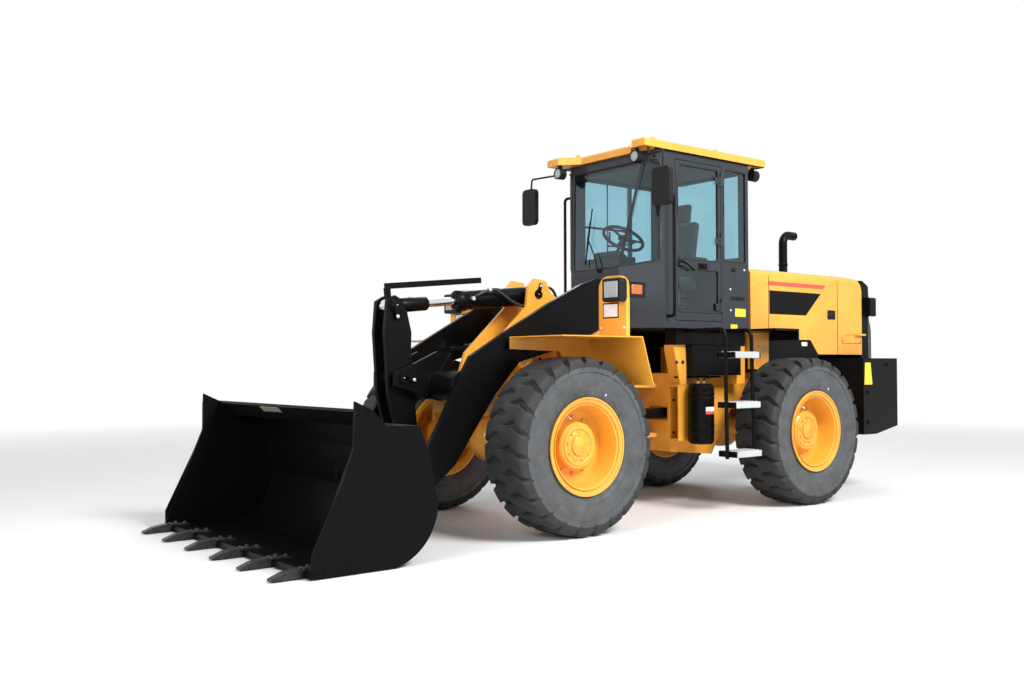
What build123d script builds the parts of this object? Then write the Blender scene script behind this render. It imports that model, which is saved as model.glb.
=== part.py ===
from build123d import *
import math
import os

# Articulated wheel loader, three-tonne class, Z-bar arm, general-purpose bucket with teeth.
# Millimetres. +X is forward (bucket end), +Y is the driver's left, +Z is up.
# Everything is laid out from the articulation axis on the ground; at the end the whole
# machine is slid along X by MID_X, so that its box is centred over the origin.

# ---------------------------------------------------------------- chassis and wheels
WHEELBASE = 2820.0
TRACK = 1860.0
TYRE_R = 670.0
TYRE_WIDTH = 444.0
LUG_DEPTH = 32.0
LUG_COUNT = 24
LUG_THICK = 131.0
LUG_SLANT = 13.0
LUG_INNER_U = 6.0
LUG_SHOULDER = 30.0
LUG_RUN_DOWN = 100.0
RIM_FLANGE_R = 367.0
RIM_SEAT_R = 322.0
RIM_HALF = 205.0
RIM_WALL = 16.0
DISC_U = 20.0
DISC_THICK = 16.0
HUB_R = 180.0
HUB_FACE_U = 95.0
HUB_BACK_U = -40.0
SPINDLE_R = 60.0
SPINDLE_END_U = 50.0
RUN_FIT = 0.05
SEAT_GAP = 0.3
CARRIER_R = 165.0
CARRIER_GAP = 8.0
AXLE_TUBE_R = 100.0
DIFF_R = 205.0

# ---------------------------------------------------------------- frames and pivot
PIVOT_R = 45.0
STEER_LIMIT = 35.0
LUG_PLATE = 40.0
HINGE_CLEAR = 6.0
UPPER_HINGE_Z = 1090.0
LOWER_HINGE_Z = 640.0
HINGE_LUG_R = 120.0
RAIL_Y = 400.0
RAIL_PLATE = 25.0
REAR_RAIL_BOTTOM = 800.0
REAR_RAIL_TOP = 1200.0
REAR_RAIL_FRONT = -240.0
REAR_RAIL_REAR = -2880.0
TOWER_Y = 425.0
TOWER_PLATE = 30.0
INNER_PLATE_Y = 150.0
CROSS_PLATE = 25.0

# ---------------------------------------------------------------- working gear pivots
ARM_PIVOT_X = 620.0
ARM_PIVOT_Z = 1800.0
ARM_Y = 500.0
ARM_PLATE = 40.0
ARM_CLEAR = 10.0
ARM_PIN_R = 40.0
BUCKET_PIN_X = 2660.0
BUCKET_PIN_Z = 300.0
BUCKET_PIN_R = 35.0
CRANK_PIN_X = 2400.0
CRANK_PIN_Z = 1180.0
CRANK_TOP_X = 2440.0
CRANK_TOP_Z = 1730.0
CRANK_LOW_X = 2285.0
CRANK_LOW_Z = 550.0
LINK_EAR_X = 2785.0
LINK_EAR_Z = 615.0
TILT_BASE_X = 1080.0
TILT_BASE_Z = 1866.0
LIFT_BASE_X = 500.0
LIFT_BASE_Z = 720.0
LIFT_TOP_X = 1450.0
LIFT_TOP_Z = 1410.0
LIFT_CYL_Y = 290.0

# ---------------------------------------------------------------- bucket
BUCKET_WIDTH = 2450.0
BUCKET_WALL = 18.0
BUCKET_SIDE = 22.0
TOOTH_COUNT = 6
TOOTH_SPAN = 2216.0
TOOTH_TIP_X = 3928.0
GROUND_CLEAR = 8.0

# ---------------------------------------------------------------- bodywork
HOOD_HALF = 575.0
HOOD_FRONT_X = -1180.0
HOOD_REAR_X = -3010.0
HOOD_TOP_Z = 2190.0
HOOD_BOTTOM_Z = 1380.0
HOOD_EDGE_R = 60.0
HOOD_TAIL_RUN = 380.0
HOOD_TAIL_DROP = 28.0
HOOD_TAIL_R = 140.0
SKIRT_THICK = 40.0
SKIRT_LOW_Z = 1235.0
ARCH_FRONT_X = -1450.0
ARCH_KNEE_X = -2110.0
ARCH_REAR_X = -2240.0
ARCH_TOP_Z = 1523.0
ARCH_LOW_Z = 1240.0
ARCH_PLATE = 8.0
WALKWAY_REAR_X = -1480.0
WALKWAY_Y = 900.0
WALKWAY_TOP_Z = 1612.0
GRILLE_REAR_X = -3190.0
GRILLE_SILL_X = -3290.0
LOUVRES = 7
LOUVRE_DEEP = 60.0
CW_HALF = 930.0
CW_REAR_X = -3300.0
CW_FRONT_X = -2480.0
CW_TOP_Z = 1340.0
CW_BOTTOM_Z = 580.0
CW_CORNER_X = 213.0
CW_CORNER_Y = 330.0
CW_BELLY_RUN = 600.0
CW_BELLY_RISE = 110.0
CW_HEEL_R = 180.0
CAB_HALF = 610.0
CAB_REAR_X = -1110.0
CAB_BOTTOM_Z = 1600.0
CAB_TOP_Z = 3152.0
CAB_NOSE_X = 290.0
CAB_NOSE_HALF = 310.0
CAB_CORNER_X = 30.0
CAB_POST = 60.0
CAB_SKIN = 40.0
ROOF_THICK = 70.0
ROOF_HALF = 640.0
GLASS = 6.0

MID_X = (TOOTH_TIP_X + CW_REAR_X) / 2.0


# ---------------------------------------------------------------- helpers
def block(x0, x1, y0, y1, z0, z1):
    centre = ((x0 + x1) / 2, (y0 + y1) / 2, (z0 + z1) / 2)
    return Pos(*centre) * Box(abs(x1 - x0), abs(y1 - y0), abs(z1 - z0))


def side_plate(points, y_mid, thick, round_r=0.0):
    plane = Plane(origin=(0, y_mid, 0), x_dir=(1, 0, 0), z_dir=(0, -1, 0))
    flat = Polygon(*points, align=None)
    if round_r > 0:
        flat = fillet(flat.vertices(), round_r)
    return extrude(plane * flat, amount=thick / 2, both=True)


def level_plate(points, z_low, thick):
    flat = Plane.XY.offset(z_low) * Polygon(*points, align=None)
    return extrude(flat, amount=thick, dir=(0, 0, 1))


def rod_y(x, z, r, y0, y1):
    return Pos(x, (y0 + y1) / 2, z) * Rot(90, 0, 0) * Cylinder(r, abs(y1 - y0))


def rod_z(x, y, r, z0, z1):
    return Pos(x, y, (z0 + z1) / 2) * Cylinder(r, abs(z1 - z0))


def rod_between(start, end, r):
    axis = Vector(*end) - Vector(*start)
    spot = Plane(origin=start, z_dir=axis.normalized())
    return spot * Cylinder(r, axis.length, align=(Align.CENTER, Align.CENTER, Align.MIN))


def bent_tube(points, r, bend):
    path = FilletPolyline(*points, radius=bend)
    section = Plane(origin=path @ 0, z_dir=path % 0) * Circle(r)
    return sweep(section, path=path)


def spun(profile):
    # profile points are (distance along the axle, radius)
    return revolve(Plane.YZ * Polygon(*profile, align=None), Axis.Y)


def both_sides(shape):
    return shape + mirror(shape, about=Plane.XZ)


def aim_point(base, tip, reach):
    span = math.hypot(tip[0] - base[0], tip[1] - base[1])
    share = reach / span
    return (base[0] + (tip[0] - base[0]) * share, base[1] + (tip[1] - base[1]) * share)


# ---------------------------------------------------------------- wheels
TYRE_HALF = TYRE_WIDTH / 2
TREAD_R = TYRE_R - LUG_DEPTH
BEAD_U = RIM_HALF - 17.0


def make_rim():
    seat = RIM_SEAT_R
    half = RIM_HALF
    wall = RIM_WALL
    profile = [
        (HUB_FACE_U + 5, 0),
        (HUB_FACE_U + 5, HUB_R * 0.55),
        (HUB_FACE_U, HUB_R * 0.6),
        (HUB_FACE_U, HUB_R - 14),
        (HUB_FACE_U - 14, HUB_R),
        (DISC_U, HUB_R),
        (DISC_U, seat - 2 * wall - 12),
        (DISC_U + 30, seat - 2 * wall),
        (half - 22, seat - wall),
        (half - 8, RIM_FLANGE_R - 14),
        (half, RIM_FLANGE_R - 12),
        (half, RIM_FLANGE_R),
        (half - 12, RIM_FLANGE_R),
        (half - 17, RIM_FLANGE_R - 30),
        (half - 17, seat),
        (half - 90, seat - 6),
        (half - 130, seat - wall - 4),
        (130 - half, seat - wall - 4),
        (90 - half, seat - 6),
        (17 - half, seat),
        (17 - half, RIM_FLANGE_R - 30),
        (12 - half, RIM_FLANGE_R),
        (-half, RIM_FLANGE_R),
        (-half, RIM_FLANGE_R - 12),
        (22 - half, seat - wall),
        (DISC_U - DISC_THICK - 60, seat - 2 * wall),
        (DISC_U - DISC_THICK, seat - 2 * wall - 12),
        (DISC_U - DISC_THICK, HUB_R),
        (HUB_BACK_U, HUB_R),
        (HUB_BACK_U, SPINDLE_R + RUN_FIT),
        (SPINDLE_END_U + 10, SPINDLE_R + RUN_FIT),
        (SPINDLE_END_U + 10, 0),
    ]
    return spun(profile)


def make_tyre():
    bead = RIM_SEAT_R + SEAT_GAP
    side = BEAD_U - SEAT_GAP
    half = TYRE_HALF
    right = [
        (side, bead),
        (side, RIM_FLANGE_R + 6),
        (half - 3, 450),
        (half - 6, TREAD_R - 70),
        (half - 40, TREAD_R),
    ]
    left = [(-u, r) for u, r in reversed(right)]
    carcass = spun(right + left)
    # one lug seen from above its own spot, trimmed to the round of the tyre and its shoulder
    skew = math.tan(math.radians(LUG_SLANT)) * (half - LUG_INNER_U)
    thick = LUG_THICK / 2
    low = TREAD_R - LUG_RUN_DOWN
    plan = [
        (-thick, half + 1),
        (-thick - skew, LUG_INNER_U),
        (thick - skew, LUG_INNER_U),
        (thick, half + 1),
    ]
    limit = spun([
        (0, low),
        (half, low),
        (half, TYRE_R - 2 * LUG_SHOULDER),
        (half - LUG_SHOULDER, TYRE_R),
        (0, TYRE_R),
    ])
    lug = level_plate(plan, low - 30, TYRE_R - low + 60) & limit
    other = mirror(lug, about=Plane.XZ)
    step = 360.0 / LUG_COUNT
    lugs = []
    for i in range(LUG_COUNT):
        lugs.append(Rot(0, i * step, 0) * lug)
        lugs.append(Rot(0, (i + 0.5) * step, 0) * other)
    return carcass + lugs


def make_axle():
    end = TRACK / 2 + HUB_BACK_U - CARRIER_GAP
    spindle_end = TRACK / 2 + SPINDLE_END_U
    half = [
        (0, DIFF_R),
        (90, DIFF_R - 10),
        (190, AXLE_TUBE_R + 30),
        (300, AXLE_TUBE_R),
        (end - 260, AXLE_TUBE_R),
        (end - 230, CARRIER_R),
        (end, CARRIER_R),
        (end, SPINDLE_R),
        (spindle_end, SPINDLE_R),
        (spindle_end, 0),
    ]
    left = [(-u, r) for u, r in reversed(half[1:])]
    body = spun(left + half)
    return Pos(0, 0, TYRE_R) * body


FRONT_AXLE_X = WHEELBASE / 2
REAR_AXLE_X = -WHEELBASE / 2
AXLE_PAD_TOP = TYRE_R + AXLE_TUBE_R + 45


# ---------------------------------------------------------------- front frame
REACH = TOWER_Y - TOWER_PLATE / 2
INNER_FACE = INNER_PLATE_Y + TOWER_PLATE / 2
FRAME_FLOOR = 560.0
NOSE_X = 1740.0


def make_front_frame():
    outer_flat = [
        (330, FRAME_FLOOR),
        (330, 1150),
        (430, 1500),
        (500, 1870),
        (560, 1960),
        (690, 1975),
        (900, 1860),
        (1080, 1620),
        (1130, 1300),
        (1250, 1120),
        (NOSE_X, 1050),
        (NOSE_X, AXLE_PAD_TOP),
        (1130, AXLE_PAD_TOP),
        (1000, FRAME_FLOOR),
    ]
    inner_flat = [
        (330, FRAME_FLOOR),
        (330, 1150),
        (620, 1700),
        (940, 1880),
        (1000, 1985),
        (1120, 2000),
        (1190, 1930),
        (1210, 1760),
        (1620, 1380),
        (NOSE_X, 1050),
        (NOSE_X, 880),
        (1100, 880),
        (960, FRAME_FLOOR),
    ]
    frame = both_sides(side_plate(outer_flat, TOWER_Y, TOWER_PLATE))
    frame += both_sides(side_plate(inner_flat, INNER_PLATE_Y, TOWER_PLATE))
    frame += block(NOSE_X - CROSS_PLATE, NOSE_X, -REACH, REACH, 880, 1050)
    frame += block(1300, 1300 + CROSS_PLATE, -INNER_FACE, INNER_FACE, 880, 1500)
    bulkhead = block(330, 330 + CROSS_PLATE, -REACH, REACH, FRAME_FLOOR, 1150)
    window = block(329, 331 + CROSS_PLATE, STEER_TIP_Y - 62, STEER_TIP_Y + 72, STEER_Z - 52,
                   STEER_Z + 52)
    frame += bulkhead - both_sides(window)
    frame += block(400, 400 + CROSS_PLATE, -REACH, REACH, 1150, 1390)
    frame += block(355, 960, -INNER_FACE, INNER_FACE, FRAME_FLOOR, FRAME_FLOOR + CROSS_PLATE)
    tube_clear = rod_y(FRONT_AXLE_X, TYRE_R, AXLE_TUBE_R + SEAT_GAP, -1000, 1000)
    pad = block(FRONT_AXLE_X - 110, FRONT_AXLE_X + 110, REACH - 60, REACH + 90, TYRE_R + 40,
                AXLE_PAD_TOP)
    frame += both_sides(pad - tube_clear)
    for z in (UPPER_HINGE_Z, LOWER_HINGE_Z):
        for low in (z - LUG_PLATE * 1.5 - HINGE_CLEAR, z + LUG_PLATE / 2 + HINGE_CLEAR):
            lug = level_plate([(0, -HINGE_LUG_R), (340, -300), (340, 300), (0, HINGE_LUG_R)], low,
                              LUG_PLATE)
            lug += rod_z(0, 0, HINGE_LUG_R, low, low + LUG_PLATE)
            frame += lug
    frame -= rod_z(0, 0, PIVOT_R + RUN_FIT, FRAME_FLOOR, 1300)
    ear_r = STEER_PIN_R + EYE_WALL
    for low in (STEER_Z - STEER_EAR_GAP - STEER_EAR_PLATE, STEER_Z + STEER_EAR_GAP):
        ear = block(STEER_TIP_X, 340, STEER_TIP_Y - ear_r, STEER_TIP_Y + ear_r, low,
                    low + STEER_EAR_PLATE)
        ear += rod_z(STEER_TIP_X, STEER_TIP_Y, ear_r, low, low + STEER_EAR_PLATE)
        frame += both_sides(ear)
    frame -= both_sides(rod_y(ARM_PIVOT_X, ARM_PIVOT_Z, ARM_PIN_R + RUN_FIT, REACH - 50, 700))
    frame -= rod_y(TILT_BASE_X, TILT_BASE_Z, TILT_PIN_R + RUN_FIT, -REACH, REACH)
    frame -= rod_y(LIFT_BASE_X, LIFT_BASE_Z, LIFT_PIN_R + RUN_FIT, -600, 600)
    return frame


TILT_PIN_R = 32.0
LIFT_PIN_R = 32.0
STEER_PIN_R = 20.0
EYE_WALL = 26.0
EYE_STEER = 40.0
BARREL_WALL = 13.0
STEER_Z = 840.0
STEER_BASE_X = -430.0
STEER_BASE_Y = 280.0
STEER_TIP_X = 270.0
STEER_TIP_Y = 300.0
STEER_EAR_GAP = 56.0
STEER_EAR_PLATE = 20.0


def make_hydraulic(length, barrel, piston_at, bore_r, rod_r, pin_r, eye_half, pin_low, pin_high,
                   stub_low, stub_high):
    # lies along +X from its base pivot at the origin; pins along Y
    eye_r = pin_r + EYE_WALL
    piston = 30.0
    gland = 22.0
    shell = rod_x(eye_r * 0.7, barrel, bore_r + BARREL_WALL)
    shell += rod_y(0, 0, eye_r, -eye_half, eye_half)
    shell += rod_y(0, 0, pin_r, pin_low, pin_high)
    shell -= rod_x(eye_r + 8, barrel - gland, bore_r + RUN_FIT)
    shell -= rod_x(barrel - gland - 1, barrel + 1, rod_r + RUN_FIT)
    rod = rod_x(piston_at, piston_at + piston, bore_r)
    rod += rod_x(piston_at + piston, length - eye_r * 0.5, rod_r)
    rod += rod_y(length, 0, eye_r, -eye_half, eye_half)
    rod += rod_y(length, 0, pin_r, stub_low, stub_high)
    return shell, rod


def rod_x(x0, x1, r):
    return Pos((x0 + x1) / 2, 0, 0) * Rot(0, 90, 0) * Cylinder(r, abs(x1 - x0))


def place_upright(shape, base, tip, y):
    # turn a cylinder that lies along +X so that it points from base to tip in the XZ plane
    angle = math.degrees(math.atan2(tip[1] - base[1], tip[0] - base[0]))
    return Pos(base[0], y, base[1]) * Rot(0, -angle, 0) * shape


def place_level(shape, base, tip, z):
    # the same in the XY plane, with its pins turned upright
    angle = math.degrees(math.atan2(tip[1] - base[1], tip[0] - base[0]))
    return Pos(base[0], base[1], z) * Rot(0, 0, angle) * Rot(90, 0, 0) * shape


def dist(a, b):
    return math.hypot(a[0] - b[0], a[1] - b[1])


ARM_PIVOT = (ARM_PIVOT_X, ARM_PIVOT_Z)
CRANK_PIN = (CRANK_PIN_X, CRANK_PIN_Z)
CRANK_TOP = (CRANK_TOP_X, CRANK_TOP_Z)
CRANK_LOW = (CRANK_LOW_X, CRANK_LOW_Z)
BUCKET_PIN = (BUCKET_PIN_X, BUCKET_PIN_Z)
LINK_EAR = (LINK_EAR_X, LINK_EAR_Z)
TILT_BASE = (TILT_BASE_X, TILT_BASE_Z)
LIFT_BASE = (LIFT_BASE_X, LIFT_BASE_Z)
LIFT_TOP = (LIFT_TOP_X, LIFT_TOP_Z)


TILT_BARREL = 730.0
LEVEL_BAR_Z = 155.0
LEVEL_BAR_HIGH = 46.0
LEVEL_BAR_LONG = 900.0
LIFT_BARREL = 1020.0
STEER_BARREL = 465.0


# ---------------------------------------------------------------- lift arms
def make_arms():
    flat = [
        (520, 1900),
        (590, 1985),
        (740, 1995),
        (920, 1935),
        (1257, 1775),
        (1710, 1530),
        (2040, 1345),
        (2140, 1180),
        (2230, 1020),
        (2330, 830),
        (2560, 470),
        (2740, 370),
        (2740, 230),
        (2600, 200),
        (2180, 540),
        (2050, 720),
        (1810, 1050),
        (1570, 1300),
        (1020, 1440),
        (710, 1570),
        (540, 1700),
    ]
    arms = both_sides(side_plate(flat, ARM_Y, ARM_PLATE))
    inner = ARM_Y - ARM_PLATE / 2
    tube = rod_y(CRANK_PIN_X - 330, CRANK_PIN_Z - 60, 110, -inner, inner)
    arms += tube
    cheek = [
        (CRANK_PIN_X - 430, CRANK_PIN_Z - 130),
        (CRANK_PIN_X - 450, CRANK_PIN_Z + 190),
        (CRANK_PIN_X - 310, CRANK_PIN_Z + 205),
        (CRANK_PIN_X - 50, CRANK_PIN_Z + 90),
        (CRANK_PIN_X + 80, CRANK_PIN_Z + 45),
        (CRANK_PIN_X + 80, CRANK_PIN_Z - 60),
        (CRANK_PIN_X - 40, CRANK_PIN_Z - 90),
        (CRANK_PIN_X - 200, CRANK_PIN_Z - 160),
    ]
    for y in (-CHEEK_Y, CHEEK_Y):
        arms += side_plate(cheek, y, CHEEK_PLATE)
    arms -= rod_y(CRANK_PIN_X, CRANK_PIN_Z, CRANK_PIN_R + RUN_FIT, -400, 400)
    boss = rod_y(ARM_PIVOT_X, ARM_PIVOT_Z, 95, inner - ARM_CLEAR / 2, ARM_Y + ARM_PLATE / 2 + 12)
    pin = rod_y(ARM_PIVOT_X, ARM_PIVOT_Z, ARM_PIN_R, TOWER_Y - 60, ARM_Y)
    arms += both_sides(boss + pin)
    arms += both_sides(rod_y(LIFT_TOP_X, LIFT_TOP_Z, 70, inner, ARM_Y + ARM_PLATE / 2 + 12))
    arms += both_sides(rod_y(BUCKET_PIN_X, BUCKET_PIN_Z, 85, inner - 30, ARM_Y + ARM_PLATE / 2 + 10))
    arms -= rod_y(BUCKET_PIN_X, BUCKET_PIN_Z, BUCKET_PIN_R + RUN_FIT, -700, 700)
    return arms


CRANK_PIN_R = 40.0
CHEEK_Y = 140.0
CHEEK_PLATE = 30.0
CRANK_PLATE_Y = 80.0
CRANK_PLATE = 36.0
EYE_HALF = 45.0
LINK_HALF = 40.0


def make_bellcrank():
    flat = [
        (CRANK_TOP_X - 60, CRANK_TOP_Z + 48),
        (CRANK_TOP_X, CRANK_TOP_Z + 80),
        (CRANK_TOP_X + 70, CRANK_TOP_Z + 40),
        (CRANK_TOP_X + 90, CRANK_TOP_Z - 200),
        (CRANK_PIN_X + 110, CRANK_PIN_Z + 60),
        (CRANK_PIN_X + 100, CRANK_PIN_Z - 120),
        (CRANK_LOW_X + 75, CRANK_LOW_Z - 20),
        (CRANK_LOW_X, CRANK_LOW_Z - 75),
        (CRANK_LOW_X - 75, CRANK_LOW_Z),
        (CRANK_PIN_X - 120, CRANK_PIN_Z - 60),
        (CRANK_PIN_X - 118, CRANK_PIN_Z + 80),
        (CRANK_TOP_X - 142, CRANK_TOP_Z - 360),
        (CRANK_TOP_X - 146, CRANK_TOP_Z - 200),
        (CRANK_TOP_X - 108, CRANK_TOP_Z - 50),
    ]
    crank = both_sides(side_plate(flat, CRANK_PLATE_Y, CRANK_PLATE))
    sleeve = CRANK_PLATE_Y - CRANK_PLATE / 2
    crank += rod_y(CRANK_PIN_X, CRANK_PIN_Z, CRANK_PIN_R + 30, -sleeve, sleeve)
    crank += rod_y(CRANK_PIN_X, CRANK_PIN_Z, CRANK_PIN_R, -CHEEK_Y - 30, CHEEK_Y + 30)
    cap = CRANK_PLATE_Y + CRANK_PLATE / 2
    for x, z in (CRANK_TOP, CRANK_LOW):
        crank += both_sides(rod_y(x, z, 48, cap - 1, cap + 14))
    return crank


def make_link():
    bar = side_plate([(CRANK_LOW_X, CRANK_LOW_Z - 50), (LINK_EAR_X, LINK_EAR_Z - 40),
                      (LINK_EAR_X, LINK_EAR_Z + 40), (CRANK_LOW_X, CRANK_LOW_Z + 50)],
                     0, LINK_HALF * 1.4)
    bar += rod_y(CRANK_LOW_X, CRANK_LOW_Z, 65, -LINK_HALF, LINK_HALF)
    bar += rod_y(LINK_EAR_X, LINK_EAR_Z, 50, -LINK_HALF, LINK_HALF)
    bar += rod_y(LINK_EAR_X, LINK_EAR_Z, 30, -LINK_HALF - 50, LINK_HALF + 50)
    return bar


# ---------------------------------------------------------------- bucket
def bucket_outline(inset):
    floor_z = GROUND_CLEAR + inset
    back = 2809.0 + inset
    lip_x = 3720.0
    heel = Vector(3130 + inset * 0.2, floor_z)
    mid = Vector(2895 + inset * 0.8, 150 + inset * 0.8)
    rear = Vector(back, 400)
    line1 = Line((lip_x, floor_z), heel)
    arc = ThreePointArc(heel, mid, rear)
    line2 = Line(rear, (2880 + inset, 700))
    line3 = Line((2880 + inset, 700), (2950 + inset, 890))
    return [line1, arc, line2, line3]


def make_bucket():
    half = BUCKET_WIDTH / 2
    outer = bucket_outline(0)
    inner = bucket_outline(BUCKET_WALL)
    ends = [Line(inner[0] @ 0, outer[0] @ 0), Line(outer[3] @ 1, inner[3] @ 1)]
    section = make_face(Wire(outer + inner + ends))
    plane = Plane(origin=(0, 0, 0), x_dir=(1, 0, 0), z_dir=(0, -1, 0))
    shell = extrude(plane * section, amount=half, both=True)
    rim_line = Polyline((2950, 890), (3200, 900), (3297, 998), (3421, 1055), (3427, 770),
                        (3720, 60), (3720, GROUND_CLEAR))
    cheek_face = make_face(Wire(outer + rim_line.edges()))
    cheek = extrude(plane * cheek_face, amount=BUCKET_SIDE / 2, both=True)
    bucket = shell
    for side in (-1, 1):
        bucket += Pos(0, side * (half - BUCKET_SIDE / 2), 0) * cheek
    guard = side_plate([(2950, 890), (2968, 872), (3205, 882), (3305, 980), (3295, 998),
                        (3200, 900)], 0, BUCKET_WIDTH)
    bucket += guard
    edge = side_plate([(3560, GROUND_CLEAR + BUCKET_WALL), (3720, GROUND_CLEAR + BUCKET_WALL),
                       (3700, GROUND_CLEAR + 38), (3560, GROUND_CLEAR + 38)], 0, BUCKET_WIDTH)
    bucket += edge
    # hinge ears: two each side astride the arm, two in the middle for the link
    ear = [(2570, 230), (2600, 380), (2800, 640), (2880, 690), (2835, 500), (2830, 300), (2900, 160),
           (2700, 210)]
    arm_gap = ARM_PLATE / 2 + 38
    for side in (-1, 1):
        for off in (-arm_gap - 15, arm_gap + 5):
            bucket += side_plate(ear, side * (ARM_Y + off), 24)
    bucket += both_sides(rod_y(BUCKET_PIN_X, BUCKET_PIN_Z, BUCKET_PIN_R,
                               ARM_Y - arm_gap - 30, ARM_Y + arm_gap + 20))
    top_ear = [(LINK_EAR_X - 60, LINK_EAR_Z - 60), (LINK_EAR_X - 60, LINK_EAR_Z + 50),
               (2900, LINK_EAR_Z + 110), (2860, LINK_EAR_Z - 20), (2850, LINK_EAR_Z - 180)]
    for side in (-1, 1):
        bucket += side_plate(top_ear, side * (LINK_HALF + 8 + 15), 30)
    bucket -= rod_y(LINK_EAR_X, LINK_EAR_Z, 30 + RUN_FIT, -150, 150)
    return bucket


def make_teeth():
    flat = [(3560, 47), (3740, 66), (3850, 50), (TOOTH_TIP_X, GROUND_CLEAR + 12),
            (TOOTH_TIP_X, GROUND_CLEAR), (3724, GROUND_CLEAR), (3724, 46.6)]
    step = TOOTH_SPAN / (TOOTH_COUNT - 1)
    teeth = []
    for i in range(TOOTH_COUNT):
        teeth.append(side_plate(flat, -TOOTH_SPAN / 2 + i * step, 62))
    return Compound(teeth)


# ---------------------------------------------------------------- rear frame
CAB_MOUNT_Z = 1456.0
ENGINE_BOTTOM = 920.0
SUBFRAME_Y = 495.0
SUBFRAME_WIDTH = 130.0
TANK_X = -400.0
TANK_Y = 640.0
TANK_R = 115.0
TANK_LOW = 575.0
TANK_HIGH = 1110.0


def make_rear_frame():
    arch = REAR_RAIL_BOTTOM + 60
    flat = [
        (REAR_RAIL_FRONT, 500),
        (REAR_RAIL_FRONT, REAR_RAIL_TOP),
        (REAR_RAIL_REAR, REAR_RAIL_TOP),
        (REAR_RAIL_REAR, arch),
        (-1080, arch),
        (-800, 450),
    ]
    frame = both_sides(side_plate(flat, RAIL_Y, RAIL_PLATE))
    reach = RAIL_Y - RAIL_PLATE / 2
    front = block(REAR_RAIL_FRONT, REAR_RAIL_FRONT - CROSS_PLATE, -reach, reach, 500, REAR_RAIL_TOP)
    window = block(REAR_RAIL_FRONT + 1, REAR_RAIL_FRONT - CROSS_PLATE - 1, STEER_BASE_Y - 115,
                   reach - 5, STEER_Z - 62, STEER_Z + 62)
    frame += front - both_sides(window)
    frame += block(-960, -960 - CROSS_PLATE, -reach, reach, 700, REAR_RAIL_TOP)
    frame += block(REAR_RAIL_REAR, REAR_RAIL_REAR + CROSS_PLATE, -reach, reach, arch, REAR_RAIL_TOP)
    for x in (-1720, -2380):
        frame += block(x - 40, x + 40, -reach, reach, arch, ENGINE_BOTTOM - SEAT_GAP)
    # steering cylinder anchors on a shelf between the rails
    ear_r = STEER_PIN_R + EYE_WALL
    for low in (STEER_Z - STEER_EAR_GAP - STEER_EAR_PLATE, STEER_Z + STEER_EAR_GAP):
        shelf = block(STEER_BASE_X - 60, STEER_BASE_X + 40, STEER_BASE_Y - ear_r, reach, low,
                      low + STEER_EAR_PLATE)
        shelf -= rod_z(STEER_BASE_X, STEER_BASE_Y, STEER_PIN_R + RUN_FIT, low - 5, low + 30)
        frame += both_sides(shelf)
    for z in (UPPER_HINGE_Z, LOWER_HINGE_Z):
        low = z - LUG_PLATE / 2
        tongue = [(0, -HINGE_LUG_R), (0, HINGE_LUG_R), (REAR_RAIL_FRONT, 250),
                  (REAR_RAIL_FRONT, -250)]
        lug = level_plate(tongue, low, LUG_PLATE) + rod_z(0, 0, HINGE_LUG_R, low, low + LUG_PLATE)
        lug += rod_z(0, 0, PIVOT_R, z - 95, z + 95)
        frame += lug
    saddle = block(REAR_AXLE_X - 110, REAR_AXLE_X + 110, RAIL_Y - 80, RAIL_Y + 40, TYRE_R + 40,
                   arch + 30)
    ring = rod_y(REAR_AXLE_X, TYRE_R, AXLE_TUBE_R + SEAT_GAP, -1000, 1000)
    frame += both_sides(saddle - ring)
    # cab mounts: C-shaped brackets standing on the rails
    mount = [(-250, 1100), (-170, CAB_MOUNT_Z - 40), (-170, CAB_MOUNT_Z), (-320, CAB_MOUNT_Z),
             (-320, CAB_MOUNT_Z - 40), (-330, 1250), (-330, 1100)]
    frame += both_sides(side_plate(mount, RAIL_Y + RAIL_PLATE / 2 + 60, 120))
    rear_mount = block(-1120, -1000, RAIL_Y, RAIL_Y + 150, 1100, CAB_MOUNT_Z)
    frame += both_sides(rear_mount)
    # outboard bracket that carries the air tank on the left and the battery box on the right
    ledge = block(TANK_X - 170, TANK_X + 170, RAIL_Y, TANK_Y - TANK_R - 0.3, 600, 620)
    ledge += block(TANK_X - 170, TANK_X + 170, RAIL_Y, TANK_Y - TANK_R - 0.3, 1080, 1100)
    ledge += block(TANK_X - 170, TANK_X + 170, TANK_Y - TANK_R - 12, TANK_Y - TANK_R - 0.3, 600, 1100)
    frame += both_sides(ledge)
    return frame


def make_tank(side):
    tank = rod_z(TANK_X, side * TANK_Y, TANK_R, TANK_LOW, TANK_HIGH)
    tank = fillet(tank.edges().filter_by(GeomType.CIRCLE), 35)
    return tank


def make_side_boxes():
    # hydraulic and fuel boxes hung under the cab floor, outside the rails
    side = RAIL_Y + RAIL_PLATE / 2 + 0.3
    return Compound([
        block(-999.7, -330.3, side, 600, 1180, 1450),
        block(-999.7, -330.3, -600, -side, 1180, 1450),
    ])


def make_engine():
    return block(-2500, -1500, -330, 330, ENGINE_BOTTOM, 1750)


def arch_outline(low, inset):
    # black panel over the rear wheel: level on top, sloping down behind
    return [
        (ARCH_FRONT_X - inset, low),
        (ARCH_FRONT_X - inset, ARCH_TOP_Z - inset),
        (ARCH_KNEE_X, ARCH_TOP_Z - inset),
        (ARCH_REAR_X + inset, HOOD_BOTTOM_Z),
        (ARCH_REAR_X + inset, low),
    ]


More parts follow.
